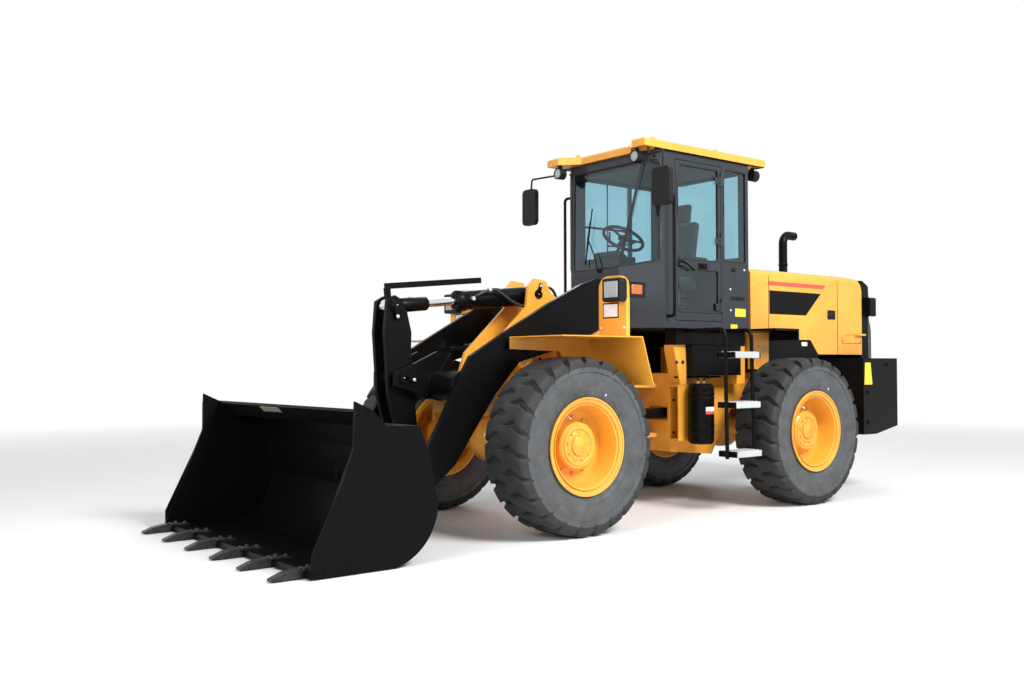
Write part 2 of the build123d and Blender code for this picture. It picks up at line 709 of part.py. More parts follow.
def make_hood():
    body = block(HOOD_REAR_X, HOOD_FRONT_X, -HOOD_HALF, HOOD_HALF, HOOD_BOTTOM_Z, HOOD_TOP_Z)
    body = fillet(body.edges().filter_by(Axis.X).sort_by(Axis.Z)[-2:], HOOD_EDGE_R)
    tail = (HOOD_REAR_X, HOOD_TOP_Z - HOOD_TAIL_DROP)
    flat = Polygon((HOOD_FRONT_X, HOOD_BOTTOM_Z), (HOOD_FRONT_X, HOOD_TOP_Z),
                   (HOOD_REAR_X + HOOD_TAIL_RUN, HOOD_TOP_Z), tail, (HOOD_REAR_X, HOOD_BOTTOM_Z),
                   align=None)
    flat = fillet(flat.vertices().sort_by_distance(Vector(tail[0], tail[1], 0))[0], HOOD_TAIL_R)
    plane = Plane(origin=(0, 0, 0), x_dir=(1, 0, 0), z_dir=(0, -1, 0))
    body = body & extrude(plane * flat, amount=HOOD_HALF + 10, both=True)
    body -= block(-2560, -1440, -390, 390, HOOD_BOTTOM_Z - 1, HOOD_TOP_Z - 200)
    # the side skirt in front of the wheel arch, and the recess that the arch panel lies in
    skirt = block(ARCH_FRONT_X, HOOD_FRONT_X, HOOD_HALF - SKIRT_THICK, HOOD_HALF, SKIRT_LOW_Z,
                  HOOD_BOTTOM_Z + 1)
    body += both_sides(skirt)
    body -= both_sides(side_plate(arch_outline(HOOD_BOTTOM_Z - 1, 0),
                                  HOOD_HALF - ARCH_PLATE / 2 + 0.5, ARCH_PLATE + 1))
    body -= rod_z(EXHAUST_X, 0, EXHAUST_R + SEAT_GAP, 1800, HOOD_TOP_Z + 10)
    return body


def make_grille():
    low = CW_TOP_Z
    rear = GRILLE_REAR_X
    top = HOOD_TOP_Z - 28
    half = HOOD_HALF - 8
    flat = [
        (HOOD_REAR_X, low),
        (GRILLE_SILL_X, low),
        (GRILLE_SILL_X, low + 290),
        (GRILLE_SILL_X + 35, low + 352),
        (rear, low + 415),
        (rear, top - 175),
        (rear + 35, top - 60),
        (rear + 150, top),
        (HOOD_REAR_X, top),
    ]
    guard = side_plate(flat, 0, 2 * half)
    plan = [(HOOD_REAR_X, -half), (rear + 50, -half), (GRILLE_SILL_X, 60 - half),
            (GRILLE_SILL_X, half - 60), (rear + 50, half), (HOOD_REAR_X, half)]
    guard = guard & level_plate(plan, low - 1, top - low + 2)
    high = top - 185
    bay = low + 425
    reach = half - 110
    guard -= block(rear - 1, rear + LOUVRE_DEEP, -reach, reach, bay, high)
    pitch = (high - bay) / LOUVRES
    for i in range(LOUVRES):
        z = bay + (i + 0.5) * pitch
        blade = Pos(rear + LOUVRE_DEEP / 2, 0, z) * Rot(0, 35, 0) * Box(LOUVRE_DEEP, 2 * reach + 2, 5)
        guard += blade
    lamp = block(rear, rear + 110, half, half + 65, top - 375, top - 177)
    lamp = fillet(lamp.edges().filter_by(Axis.X), 20)
    return guard + both_sides(lamp)


EXHAUST_X = -2450.0
EXHAUST_R = 45.0
EXHAUST_TOP_Z = 2705.0
EXHAUST_RUN = 195.0
EXHAUST_BEND = 90.0
EXHAUST_WALL = 3.0


def make_exhaust():
    x = EXHAUST_X
    high = EXHAUST_TOP_Z - EXHAUST_R
    pipe = bent_tube([(x, 0, HOOD_TOP_Z - 60), (x, 0, high), (x - EXHAUST_RUN, 0, high)], EXHAUST_R,
                     EXHAUST_BEND)
    pipe -= bent_tube([(x, 0, HOOD_TOP_Z), (x, 0, high), (x - EXHAUST_RUN - 1, 0, high)],
                      EXHAUST_R - EXHAUST_WALL, EXHAUST_BEND)
    return pipe


def make_counterweight():
    plan = [
        (CW_FRONT_X, -CW_HALF),
        (CW_REAR_X + CW_CORNER_X, -CW_HALF),
        (CW_REAR_X, CW_CORNER_Y - CW_HALF),
        (CW_REAR_X, CW_HALF - CW_CORNER_Y),
        (CW_REAR_X + CW_CORNER_X, CW_HALF),
        (CW_FRONT_X, CW_HALF),
    ]
    heel = (CW_REAR_X, CW_BOTTOM_Z + CW_BELLY_RISE)
    flat = Polygon((CW_FRONT_X, CW_BOTTOM_Z), (CW_FRONT_X, CW_TOP_Z), (CW_REAR_X, CW_TOP_Z), heel,
                   (CW_REAR_X + CW_BELLY_RUN, CW_BOTTOM_Z), align=None)
    flat = fillet(flat.vertices().sort_by_distance(Vector(heel[0], heel[1], 0))[0], CW_HEEL_R)
    plane = Plane(origin=(0, 0, 0), x_dir=(1, 0, 0), z_dir=(0, -1, 0))
    side = extrude(plane * flat, amount=CW_HALF + 10, both=True)
    body = level_plate(plan, CW_BOTTOM_Z - 1, CW_TOP_Z - CW_BOTTOM_Z + 1) & side
    gap = RAIL_Y + RAIL_PLATE / 2 + SEAT_GAP
    body -= block(REAR_RAIL_REAR - SEAT_GAP, CW_FRONT_X + 1, -gap, gap, CW_BOTTOM_Z - 1, CW_TOP_Z + 1)
    body -= block(CW_REAR_X - 1, CW_REAR_X + 190, -130, 130, 700, 1100)
    for low in (HITCH_Z - HITCH_GAP / 2 - HITCH_EAR, HITCH_Z + HITCH_GAP / 2):
        ear = block(CW_REAR_X + 8, CW_REAR_X + 200, -130, 130, low, low + HITCH_EAR)
        body += ear - rod_z(HITCH_X, 0, HITCH_PIN_R, low - 1, low + HITCH_EAR + 1)
    body -= rod_z(HITCH_X, 0, HITCH_PIN_R + 9, CW_BOTTOM_Z - 1, 750)
    return body


HITCH_X = CW_REAR_X + 80.0
HITCH_Z = 860.0
HITCH_GAP = 70.0
HITCH_EAR = 40.0
HITCH_PIN_R = 21.0


# ---------------------------------------------------------------- cab
SCREEN_BREAK_Z = 2100.0
SCREEN_LEAN = 0.166
DOOR_FRONT_X = -110.0
DOOR_REAR_X = -720.0
DOOR_LOW_Z = 1665.0
DOOR_HIGH_Z = CAB_TOP_Z - 62.0
DOOR_GAP = 6.0
DOOR_THICK = 34.0
DOOR_HINGE_X = DOOR_REAR_X
DOOR_HINGE_Y = CAB_HALF + 14.0
HINGE_ROWS = (1800.0, 2400.0, DOOR_HIGH_Z - 140.0)
KNUCKLE_R = 12.0
KNUCKLE_HALF = 45.0
HINGE_PIN_R = 6.0
EYE_BOLT_R = 12.0


def cab_prism(inset, low):
    plan = [
        (CAB_REAR_X + inset, -CAB_HALF + inset),
        (CAB_CORNER_X - inset * 0.4, -CAB_HALF + inset),
        (CAB_NOSE_X - inset, -CAB_NOSE_HALF + inset * 0.4),
        (CAB_NOSE_X - inset, CAB_NOSE_HALF - inset * 0.4),
        (CAB_CORNER_X - inset * 0.4, CAB_HALF - inset),
        (CAB_REAR_X + inset, CAB_HALF - inset),
    ]
    top = CAB_TOP_Z
    nose = CAB_NOSE_X - inset
    lean = nose - SCREEN_LEAN * (top - SCREEN_BREAK_Z)
    side = [(CAB_REAR_X - 10, low), (nose, low), (nose, SCREEN_BREAK_Z), (lean, top),
            (CAB_REAR_X - 10, top)]
    return level_plate(plan, low, top - low) & side_plate(side, 0, 2 * CAB_HALF + 10)


def wall_cut(start, end, points, depth):
    # a prism through the upright wall that runs from start to end; points are (along, height)
    along = Vector(end[0] - start[0], end[1] - start[1], 0).normalized()
    plane = Plane(origin=(start[0], start[1], 0), x_dir=along, z_dir=(along.Y, -along.X, 0))
    return extrude(plane * Polygon(*points, align=None), amount=depth, both=True)


def rectangle(s0, s1, z0, z1):
    return [(s0, z0), (s1, z0), (s1, z1), (s0, z1)]


CORNER_LEFT = ((CAB_CORNER_X, CAB_HALF), (CAB_NOSE_X, CAB_NOSE_HALF))
SIDE_LEFT = ((CAB_CORNER_X, CAB_HALF), (CAB_REAR_X, CAB_HALF))
SIDE_RIGHT = ((CAB_CORNER_X, -CAB_HALF), (CAB_REAR_X, -CAB_HALF))
REAR_WALL = ((CAB_REAR_X, -CAB_HALF), (CAB_REAR_X, CAB_HALF))
PANE_TOP_Z = CAB_TOP_Z - 82.0
PANES = {
    # name: (wall, outline as (along, height))
    "corner": (CORNER_LEFT, [(34, 2190), (383, 2140), (172, PANE_TOP_Z), (34, PANE_TOP_Z)]),
    "quarter": (SIDE_LEFT, rectangle(792, 1108, 2225, PANE_TOP_Z)),
    "right_up": (SIDE_RIGHT, rectangle(150, 760, 2210, PANE_TOP_Z)),
    "right_low": (SIDE_RIGHT, rectangle(190, 720, 1720, 2130)),
    "rear": (REAR_WALL, rectangle(90, 2 * CAB_HALF - 90, 2280, PANE_TOP_Z)),
}
SCREEN_LOW_Z = 2135.0
SCREEN_HIGH_Z = PANE_TOP_Z
SCREEN_LOW_HALF = 297.0
SCREEN_HIGH_HALF = 450.0


def screen_prism(grow):
    flat = [(-SCREEN_LOW_HALF - grow, SCREEN_LOW_Z - grow), (SCREEN_LOW_HALF + grow, SCREEN_LOW_Z - grow),
            (SCREEN_HIGH_HALF + grow, SCREEN_HIGH_Z + grow),
            (-SCREEN_HIGH_HALF - grow, SCREEN_HIGH_Z + grow)]
    return extrude(Plane.YZ.offset(60) * Polygon(*flat, align=None), amount=300)


def make_cab():
    shell = cab_prism(0, CAB_BOTTOM_Z) - cab_prism(CAB_SKIN, CAB_BOTTOM_Z + 30)
    shell += block(CAB_REAR_X, 100, -CAB_HALF, CAB_HALF, CAB_TOP_Z - 12, CAB_TOP_Z)
    beam_low = CAB_MOUNT_Z + SEAT_GAP
    beam = block(CAB_REAR_X, -170, SUBFRAME_Y - SUBFRAME_WIDTH / 2, SUBFRAME_Y + SUBFRAME_WIDTH / 2,
                 beam_low, CAB_BOTTOM_Z + 5)
    shell += both_sides(beam)
    for name, (wall, points) in PANES.items():
        cut = wall_cut(wall[0], wall[1], points, CAB_SKIN + 15)
        shell -= cut
        if name in ("corner", "quarter"):
            shell -= mirror(cut, about=Plane.XZ)
    shell -= screen_prism(0)
    shell -= block(DOOR_REAR_X, DOOR_FRONT_X, CAB_HALF - 60, CAB_HALF + 10, DOOR_LOW_Z, DOOR_HIGH_Z)
    for z in HINGE_ROWS:
        low = z + KNUCKLE_HALF + SEAT_GAP
        high = low + 30
        shell += rod_z(DOOR_HINGE_X, DOOR_HINGE_Y, KNUCKLE_R, low, high)
        shell += rod_z(DOOR_HINGE_X, DOOR_HINGE_Y, HINGE_PIN_R, z - KNUCKLE_HALF, low + 1)
        shell += block(DOOR_HINGE_X - 34, DOOR_HINGE_X, CAB_HALF, DOOR_HINGE_Y, low, high)
    return shell


GLASS_SET = 10.0


def make_glass():
    panes = []
    outer = cab_prism(GLASS_SET, CAB_BOTTOM_Z) - cab_prism(GLASS_SET + GLASS, CAB_BOTTOM_Z - 1)
    for name, (wall, points) in PANES.items():
        smaller = offset(Polygon(*points, align=None), -SEAT_GAP, kind=Kind.INTERSECTION)
        along = Vector(wall[1][0] - wall[0][0], wall[1][1] - wall[0][1], 0).normalized()
        plane = Plane(origin=(wall[0][0], wall[0][1], 0), x_dir=along,
                      z_dir=(along.Y, -along.X, 0))
        cut = extrude(plane * smaller, amount=CAB_SKIN + 15, both=True)
        piece = outer & cut
        panes.append(piece)
        if name in ("corner", "quarter"):
            panes.append(mirror(piece, about=Plane.XZ))
    panes.append(outer & screen_prism(-SEAT_GAP))
    solids = []
    for piece in panes:
        solids += piece.solids()
    return Compound(solids)


DOOR_WINDOWS = (
    # x front, x rear, low, high
    (-142, -686, 2212, DOOR_HIGH_Z - 42),
    (-150, -686, 1745, 2128),
)


def make_door():
    gap = DOOR_GAP
    door = block(DOOR_REAR_X + gap, DOOR_FRONT_X - gap, CAB_HALF - DOOR_THICK, CAB_HALF,
                 DOOR_LOW_Z + gap, DOOR_HIGH_Z - gap)
    for front, rear, low, high in DOOR_WINDOWS:
        door -= block(rear, front, CAB_HALF - 100, CAB_HALF + 10, low, high)
    door += block(-200, -140, CAB_HALF, CAB_HALF + 28, 2150, 2185)
    # hinge knuckles on the rear edge
    for z in HINGE_ROWS:
        low = z - KNUCKLE_HALF
        high = z + KNUCKLE_HALF
        door += rod_z(DOOR_HINGE_X, DOOR_HINGE_Y, KNUCKLE_R, low, high)
        door += block(DOOR_HINGE_X + 6, DOOR_HINGE_X + 33, CAB_HALF, CAB_HALF + 10, low, high)
        door += block(DOOR_HINGE_X + 4, DOOR_HINGE_X + 16, CAB_HALF + 3, DOOR_HINGE_Y, low, high)
        door -= rod_z(DOOR_HINGE_X, DOOR_HINGE_Y, HINGE_PIN_R + RUN_FIT, low - 1, high + 1)
    return door


def make_door_glass():
    panes = []
    g = SEAT_GAP
    for front, rear, low, high in DOOR_WINDOWS:
        y = CAB_HALF - GLASS_SET
        panes.append(block(rear + g, front - g, y - GLASS, y, low + g, high - g))
    return Compound(panes)


def make_roof():
    plan = [(-1331, -ROOF_HALF), (298, -ROOF_HALF), (298, -480), (150, -320), (150, 320), (298, 480),
            (298, ROOF_HALF), (-1331, ROOF_HALF)]
    roof = level_plate(plan, CAB_TOP_Z, ROOF_THICK)
    roof = chamfer(roof.faces().sort_by(Axis.Z)[-1].edges(), 14)
    return roof


LIFT_EYE_XS = (40.0, -800.0)
LIFT_EYE_Y = 486.0
LIFT_EYE_RISE = 32.0
LIFT_EYE_R = 28.0
LIFT_EYE_THICK = 14.0


def make_lifting_eyes():
    top = CAB_TOP_Z + ROOF_THICK
    near = LIFT_EYE_Y - LIFT_EYE_THICK / 2
    far = LIFT_EYE_Y + LIFT_EYE_THICK / 2
    eyes = []
    for x in LIFT_EYE_XS:
        eye = block(x - LIFT_EYE_R, x + LIFT_EYE_R, near, far, top, top + LIFT_EYE_RISE)
        eye += rod_y(x, top + LIFT_EYE_RISE, LIFT_EYE_R, near, far)
        eye -= rod_y(x, top + LIFT_EYE_RISE, EYE_BOLT_R, near - 5, far + 5)
        eyes.append(eye)
        eyes.append(mirror(eye, about=Plane.XZ))
    return Compound(eyes)


def make_work_lamps():
    lamps = []
    for x, y in ((250, 505), (250, -505), (-1270, 540), (-1270, -540)):
        head = Pos(x, y, CAB_TOP_Z - 75) * Rot(0, 90, 0) * Cylinder(52, 70)
        stem = block(x - 12, x + 12, y - 12, y + 12, CAB_TOP_Z - 60, CAB_TOP_Z - SEAT_GAP)
        lamps.append(head + stem)
    return Compound(lamps)


def make_mirrors():
    left = block(278, 325, 748, 948, 2610, 2930)
    left = fillet(left.edges().filter_by(Axis.X), 45)
    seat = CAB_TOP_Z - SEAT_GAP
    left += bent_tube([(300, 850, 2920), (290, 850, 3075), (210, 600, 3085), (210, 600, seat)], 9, 25)
    right = block(232, 278, -1045, -850, 2640, 2990)
    right = fillet(right.edges().filter_by(Axis.X), 45)
    right += bent_tube([(257, -930, 2975), (250, -930, 3085), (200, -600, 3085), (200, -600, seat)],
                       9, 25)
    return Compound([left, right])


def make_handrails():
    rails = []
    for side, x, z0, z1, reach in ((1, -10, 1700, 2760, 80), (-1, -30, 1700, 2900, 150)):
        y = side * (CAB_HALF + reach)
        wall = side * (CAB_HALF + 0.3)
        rails.append(bent_tube([(x, wall, z0), (x, y, z0), (x, y, z1), (x, wall, z1)], 14, 35))
    return Compound(rails)


# ---------------------------------------------------------------- cab inside
CAB_FLOOR_Z = CAB_BOTTOM_Z + 30.0


def make_seat():
    base = block(-760, -440, -180, 180, CAB_FLOOR_Z + SEAT_GAP, 1990)
    base += block(-830, -320, -240, 240, 1990, 2100)
    back = side_plate([(-830, 2060), (-720, 2060), (-810, 2640), (-900, 2640)], 0, 440)
    head = side_plate([(-880, 2620), (-800, 2620), (-830, 2800), (-900, 2800)], 0, 260)
    return base + back + head


def make_console():
    column = side_plate([(60, CAB_FLOOR_Z + SEAT_GAP), (200, CAB_FLOOR_Z + SEAT_GAP), (120, 2250),
                         (20, 2250)], 0, 150)
    dash = block(20, 215, -250, 250, 2110, 2240)
    side = block(-700, -300, -420, -280, CAB_FLOOR_Z + SEAT_GAP, 2150)
    return Compound([column + dash, side])


STEER_WHEEL_R = 190.0


def make_steering_wheel():
    tilt = 30.0
    ring = Torus(STEER_WHEEL_R, 15)
    wheel = ring
    for turn in (0, 120, 240):
        wheel += Rot(0, 0, turn) * Pos(STEER_WHEEL_R / 2, 0, 0) * Box(STEER_WHEEL_R, 24, 10)
    wheel += Cylinder(40, 24)
    wheel += Cylinder(16, 212, align=(Align.CENTER, Align.CENTER, Align.MAX))
    return Pos(-75, 0, 2440) * Rot(0, -tilt, 0) * wheel


# ---------------------------------------------------------------- fenders, steps, lamps
def make_rear_fenders():
    # upright panels over the rear wheels, flush with the hood, and the walkway behind each door
    panel = side_plate(arch_outline(ARCH_LOW_Z, SEAT_GAP), HOOD_HALF - ARCH_PLATE / 2, ARCH_PLATE)
    side = HOOD_HALF + SEAT_GAP
    walkway = block(WALKWAY_REAR_X, CAB_REAR_X - 20, side, WALKWAY_Y, WALKWAY_TOP_Z - 22,
                    WALKWAY_TOP_Z)
    walkway += block(WALKWAY_REAR_X, WALKWAY_REAR_X + 20, side, WALKWAY_Y, WALKWAY_TOP_Z - 105,
                     WALKWAY_TOP_Z)
    return Compound([panel, walkway, mirror(panel, about=Plane.XZ), mirror(walkway, about=Plane.XZ)])


FENDER_INNER = 560.0
FENDER_OUTER = 1180.0
FENDER_TOP_Z = 1495.0
FENDER_PLATE = 8.0


def make_fender_plates():
    top = [(880, FENDER_TOP_Z), (1700, FENDER_TOP_Z), (1700, FENDER_TOP_Z - FENDER_PLATE),
           (884, FENDER_TOP_Z - FENDER_PLATE)]
    flap = [(880, FENDER_TOP_Z), (760, 1120), (769, 1117), (888, FENDER_TOP_Z - 6)]
    wall = [(880, FENDER_TOP_Z - 2), (764, 1125), (1010, 1150), (1200, 1385), (1700, 1400),
            (1700, FENDER_TOP_Z - 2)]
    mid = (FENDER_INNER + FENDER_OUTER) / 2
    width = FENDER_OUTER - FENDER_INNER
    fender = side_plate(top, mid, width) + side_plate(flap, mid, width)
    fender += side_plate(wall, FENDER_INNER + FENDER_PLATE / 2, FENDER_PLATE)
    fender += block(850, 980, TOWER_Y + TOWER_PLATE / 2, FENDER_INNER + 1, 1190, 1300)
    return both_sides(fender)


LADDER_Y = 1000.0
LADDER_FRONT_X = -300.0
LADDER_REAR_X = -650.0
LADDER_TUBE_R = 17.0
TREAD_THICK = 50.0


def make_ladder(side):
    y = LADDER_Y * side
    ladder = None
    for x, lean in ((LADDER_FRONT_X, -20), (LADDER_REAR_X, -30)):
        top = CAB_BOTTOM_Z - LADDER_TUBE_R - SEAT_GAP
        root = SUBFRAME_Y + SUBFRAME_WIDTH / 2 + SEAT_GAP
        tube = bent_tube([(x, side * root, top), (x, y, top), (x + lean, y, 470)],
                         LADDER_TUBE_R, 60)
        ladder = tube if ladder is None else ladder + tube
    for z in (1360, 930, 510):
        share = (1575 - z) / (1575 - 470)
        x0 = LADDER_REAR_X - 30 * share
        x1 = LADDER_FRONT_X - 20 * share
        ladder += block(x0, x1, y - 95, y + 95, z - TREAD_THICK / 2, z + TREAD_THICK / 2)
    return ladder


LAMP_POST_X = 1050.0
LAMP_POST_DEEP = 40.0
LAMP_POST_WIDE = 300.0
LAMP_POST_TOP_Z = 1965.0
LAMP_POST_R = 95.0
LAMP_LOW_Z = 1760.0
LAMP_HIGH_Z = 1940.0
LAMP_WIDE = 205.0
LAMP_DEEP = 62.0


def make_lamp_posts():
    outer = FENDER_OUTER - 12
    inner = outer - LAMP_POST_WIDE
    flat = Polygon((inner, FENDER_TOP_Z - 2), (outer, FENDER_TOP_Z - 2), (outer, LAMP_POST_TOP_Z),
                   (inner, LAMP_POST_TOP_Z), align=None)
    flat = fillet(flat.vertices().sort_by(Axis.Y)[-2:], LAMP_POST_R)
    post = extrude(Plane.YZ.offset(LAMP_POST_X - LAMP_POST_DEEP) * flat, amount=LAMP_POST_DEEP)
    return both_sides(post)


def make_fenders():
    return make_fender_plates() + make_lamp_posts()


def make_head_lamps():
    face = LAMP_POST_X + SEAT_GAP
    lamp = block(face, face + LAMP_DEEP, FENDER_OUTER - LAMP_WIDE, FENDER_OUTER, LAMP_LOW_Z,
                 LAMP_HIGH_Z)
    lamp = fillet(lamp.edges().filter_by(Axis.X), 30)
    back = LAMP_POST_X - LAMP_POST_DEEP - SEAT_GAP
    turn = block(back - 160, back, FENDER_OUTER - 60, FENDER_OUTER, LAMP_LOW_Z + 40, LAMP_HIGH_Z - 35)
    return Compound([lamp, turn, mirror(lamp, about=Plane.XZ), mirror(turn, about=Plane.XZ)])


def make_level_rod():
    closed = dist(TILT_BASE, CRANK_TOP)
    low = LEVEL_BAR_Z - LEVEL_BAR_HIGH / 2
    bar = block(closed - LEVEL_BAR_LONG, closed + 20, -7, 7, low, low + LEVEL_BAR_HIGH)
    bar += block(closed - 20, closed + 20, -20, 20, TILT_PIN_R + EYE_WALL + SEAT_GAP, low + 10)
    return bar


def build_parts():
    parts = {}
    rim = make_rim()
    tyre = make_tyre()
    axle = make_axle()
    spots = (
        # name, x, side
        ("front_left", FRONT_AXLE_X, 1),
        ("front_right", FRONT_AXLE_X, -1),
        ("rear_left", REAR_AXLE_X, 1),
        ("rear_right", REAR_AXLE_X, -1),
    )
    for name, x, side in spots:
        spot = Pos(x, side * TRACK / 2, TYRE_R)
        parts["tyre_" + name] = spot * (tyre if side > 0 else mirror(tyre, about=Plane.XZ))
        parts["rim_" + name] = spot * (rim if side > 0 else mirror(rim, about=Plane.XZ))
    parts["front_axle"] = Pos(FRONT_AXLE_X, 0, 0) * axle
    parts["rear_axle"] = Pos(REAR_AXLE_X, 0, 0) * axle
    parts["front_frame"] = make_front_frame()
    parts["front_fenders"] = make_fenders()
    parts["lift_arms"] = make_arms()
    parts["bellcrank"] = make_bellcrank()
    parts["bucket_link"] = make_link()
    parts["bucket"] = make_bucket()
    parts["bucket_teeth"] = make_teeth()
    parts["rear_frame"] = make_rear_frame()
    parts["engine_block"] = make_engine()
    parts["hood"] = make_hood()
    parts["rear_grille"] = make_grille()
    parts["exhaust_stack"] = make_exhaust()
    parts["counterweight"] = make_counterweight()
    parts["cab_shell"] = make_cab()
    parts["cab_roof"] = make_roof()
    parts["lifting_eyes"] = make_lifting_eyes()
    parts["cab_glass"] = make_glass()
    parts["cab_seat"] = make_seat()
    parts["cab_console"] = make_console()
    parts["steering_wheel"] = make_steering_wheel()
    parts["cab_door"] = make_door()
    parts["door_glass"] = make_door_glass()
    parts["work_lamps"] = make_work_lamps()
    parts["mirrors"] = make_mirrors()
    parts["handrails"] = make_handrails()
    parts["air_tanks"] = Compound([make_tank(1), make_tank(-1)])
    parts["side_boxes"] = make_side_boxes()
    parts["rear_fenders"] = make_rear_fenders()
    parts["head_lamps"] = make_head_lamps()
    parts["ladders"] = Compound([make_ladder(1), make_ladder(-1)])
    shell, rod = make_hydraulic(dist(TILT_BASE, CRANK_TOP), TILT_BARREL, 200, 66, 32, TILT_PIN_R,
                                EYE_HALF, -INNER_FACE - 15, INNER_FACE + 15, -EYE_HALF - 10,
                                EYE_HALF + 10)
    parts["tilt_barrel"] = place_upright(shell, TILT_BASE, CRANK_TOP, 0)
    parts["tilt_rod"] = place_upright(rod, TILT_BASE, CRANK_TOP, 0)
    parts["level_rod"] = place_upright(make_level_rod(), TILT_BASE, CRANK_TOP, 0)
    for name, side in (("left", 1), ("right", -1)):
        low = INNER_PLATE_Y - LIFT_CYL_Y
        high = TOWER_Y - LIFT_CYL_Y
        stub = ARM_Y - ARM_PLATE / 2 - 6 - LIFT_CYL_Y
        shell, rod = make_hydraulic(dist(LIFT_BASE, LIFT_TOP), LIFT_BARREL, 70, 60, 35, LIFT_PIN_R,
                                    EYE_HALF, low, high, -EYE_HALF - 10, stub)
        if side < 0:
            shell = mirror(shell, about=Plane.XZ)
            rod = mirror(rod, about=Plane.XZ)
        spot = side * LIFT_CYL_Y
        parts["lift_barrel_" + name] = place_upright(shell, LIFT_BASE, LIFT_TOP, spot)
        parts["lift_rod_" + name] = place_upright(rod, LIFT_BASE, LIFT_TOP, spot)
        base = (STEER_BASE_X, side * STEER_BASE_Y)
        tip = (STEER_TIP_X, side * STEER_TIP_Y)
        shell, rod = make_hydraulic(dist(base, tip), STEER_BARREL, 236, 36, 20, STEER_PIN_R,
                                    EYE_STEER, -EYE_STEER - 20, EYE_STEER + 20, -EYE_STEER - 1,
                                    EYE_STEER + 1)
        parts["steer_barrel_" + name] = place_level(shell, base, tip, STEER_Z)
        parts["steer_rod_" + name] = place_level(rod, base, tip, STEER_Z)
    return parts


def main():
    os.makedirs("parts", exist_ok=True)
    for name, shape in build_parts().items():
        export_step(Pos(-MID_X, 0, 0) * shape, "parts/" + name + ".step")


if __name__ == "__main__":
    main()
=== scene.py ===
import bmesh
import bpy
import math
import random
from mathutils import Matrix, Vector


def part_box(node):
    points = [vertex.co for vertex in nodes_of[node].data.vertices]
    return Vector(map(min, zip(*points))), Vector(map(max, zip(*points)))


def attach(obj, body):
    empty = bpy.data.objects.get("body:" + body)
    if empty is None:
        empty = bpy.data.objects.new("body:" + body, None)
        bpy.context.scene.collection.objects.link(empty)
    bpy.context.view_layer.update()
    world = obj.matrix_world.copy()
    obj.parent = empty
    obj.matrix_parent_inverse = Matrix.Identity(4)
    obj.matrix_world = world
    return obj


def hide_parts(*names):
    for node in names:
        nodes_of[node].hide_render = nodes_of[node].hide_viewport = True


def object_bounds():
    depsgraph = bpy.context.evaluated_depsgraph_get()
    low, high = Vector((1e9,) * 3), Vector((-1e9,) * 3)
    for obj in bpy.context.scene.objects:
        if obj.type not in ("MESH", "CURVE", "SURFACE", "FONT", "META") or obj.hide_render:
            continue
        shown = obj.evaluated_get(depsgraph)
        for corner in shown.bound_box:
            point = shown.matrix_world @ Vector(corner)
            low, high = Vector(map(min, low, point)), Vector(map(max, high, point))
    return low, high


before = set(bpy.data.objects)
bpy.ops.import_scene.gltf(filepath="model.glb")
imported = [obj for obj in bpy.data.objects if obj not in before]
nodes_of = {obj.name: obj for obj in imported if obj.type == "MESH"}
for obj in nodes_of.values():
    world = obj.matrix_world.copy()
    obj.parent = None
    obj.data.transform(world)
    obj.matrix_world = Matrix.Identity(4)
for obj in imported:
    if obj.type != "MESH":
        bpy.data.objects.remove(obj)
cad_low, cad_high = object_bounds()
scene = bpy.context.scene
random.seed(7)

HINGE_X = 0.314    # the articulation axis, back of the middle of the machine's box
WHEELS = ("front_left", "front_right", "rear_left", "rear_right")


def spot(x, y, z):
    """A place given in millimetres from the articulation axis on the ground."""
    return Vector((x / 1000 - HINGE_X, y / 1000, z / 1000))


# ---------------------------------------------------------------- camera
EYE = spot(6511, 6691, 1270)
YAW = math.radians(-128.26)
PITCH = math.radians(1.38)
ROLL = math.radians(-0.13)

camera_data = bpy.data.cameras.new("camera")
camera_data.sensor_width = 36.0
camera_data.lens = 35.68
camera = bpy.data.objects.new("camera", camera_data)
scene.collection.objects.link(camera)
look = Vector((math.cos(YAW) * math.cos(PITCH), math.sin(YAW) * math.cos(PITCH), math.sin(PITCH)))
camera.location = EYE
camera.rotation_mode = "QUATERNION"
camera.rotation_quaternion = look.to_track_quat("-Z", "Y") @ Matrix.Rotation(ROLL, 3, "Z").to_quaternion()
scene.camera = camera


# ---------------------------------------------------------------- materials
DUST = (0.33, 0.29, 0.23)


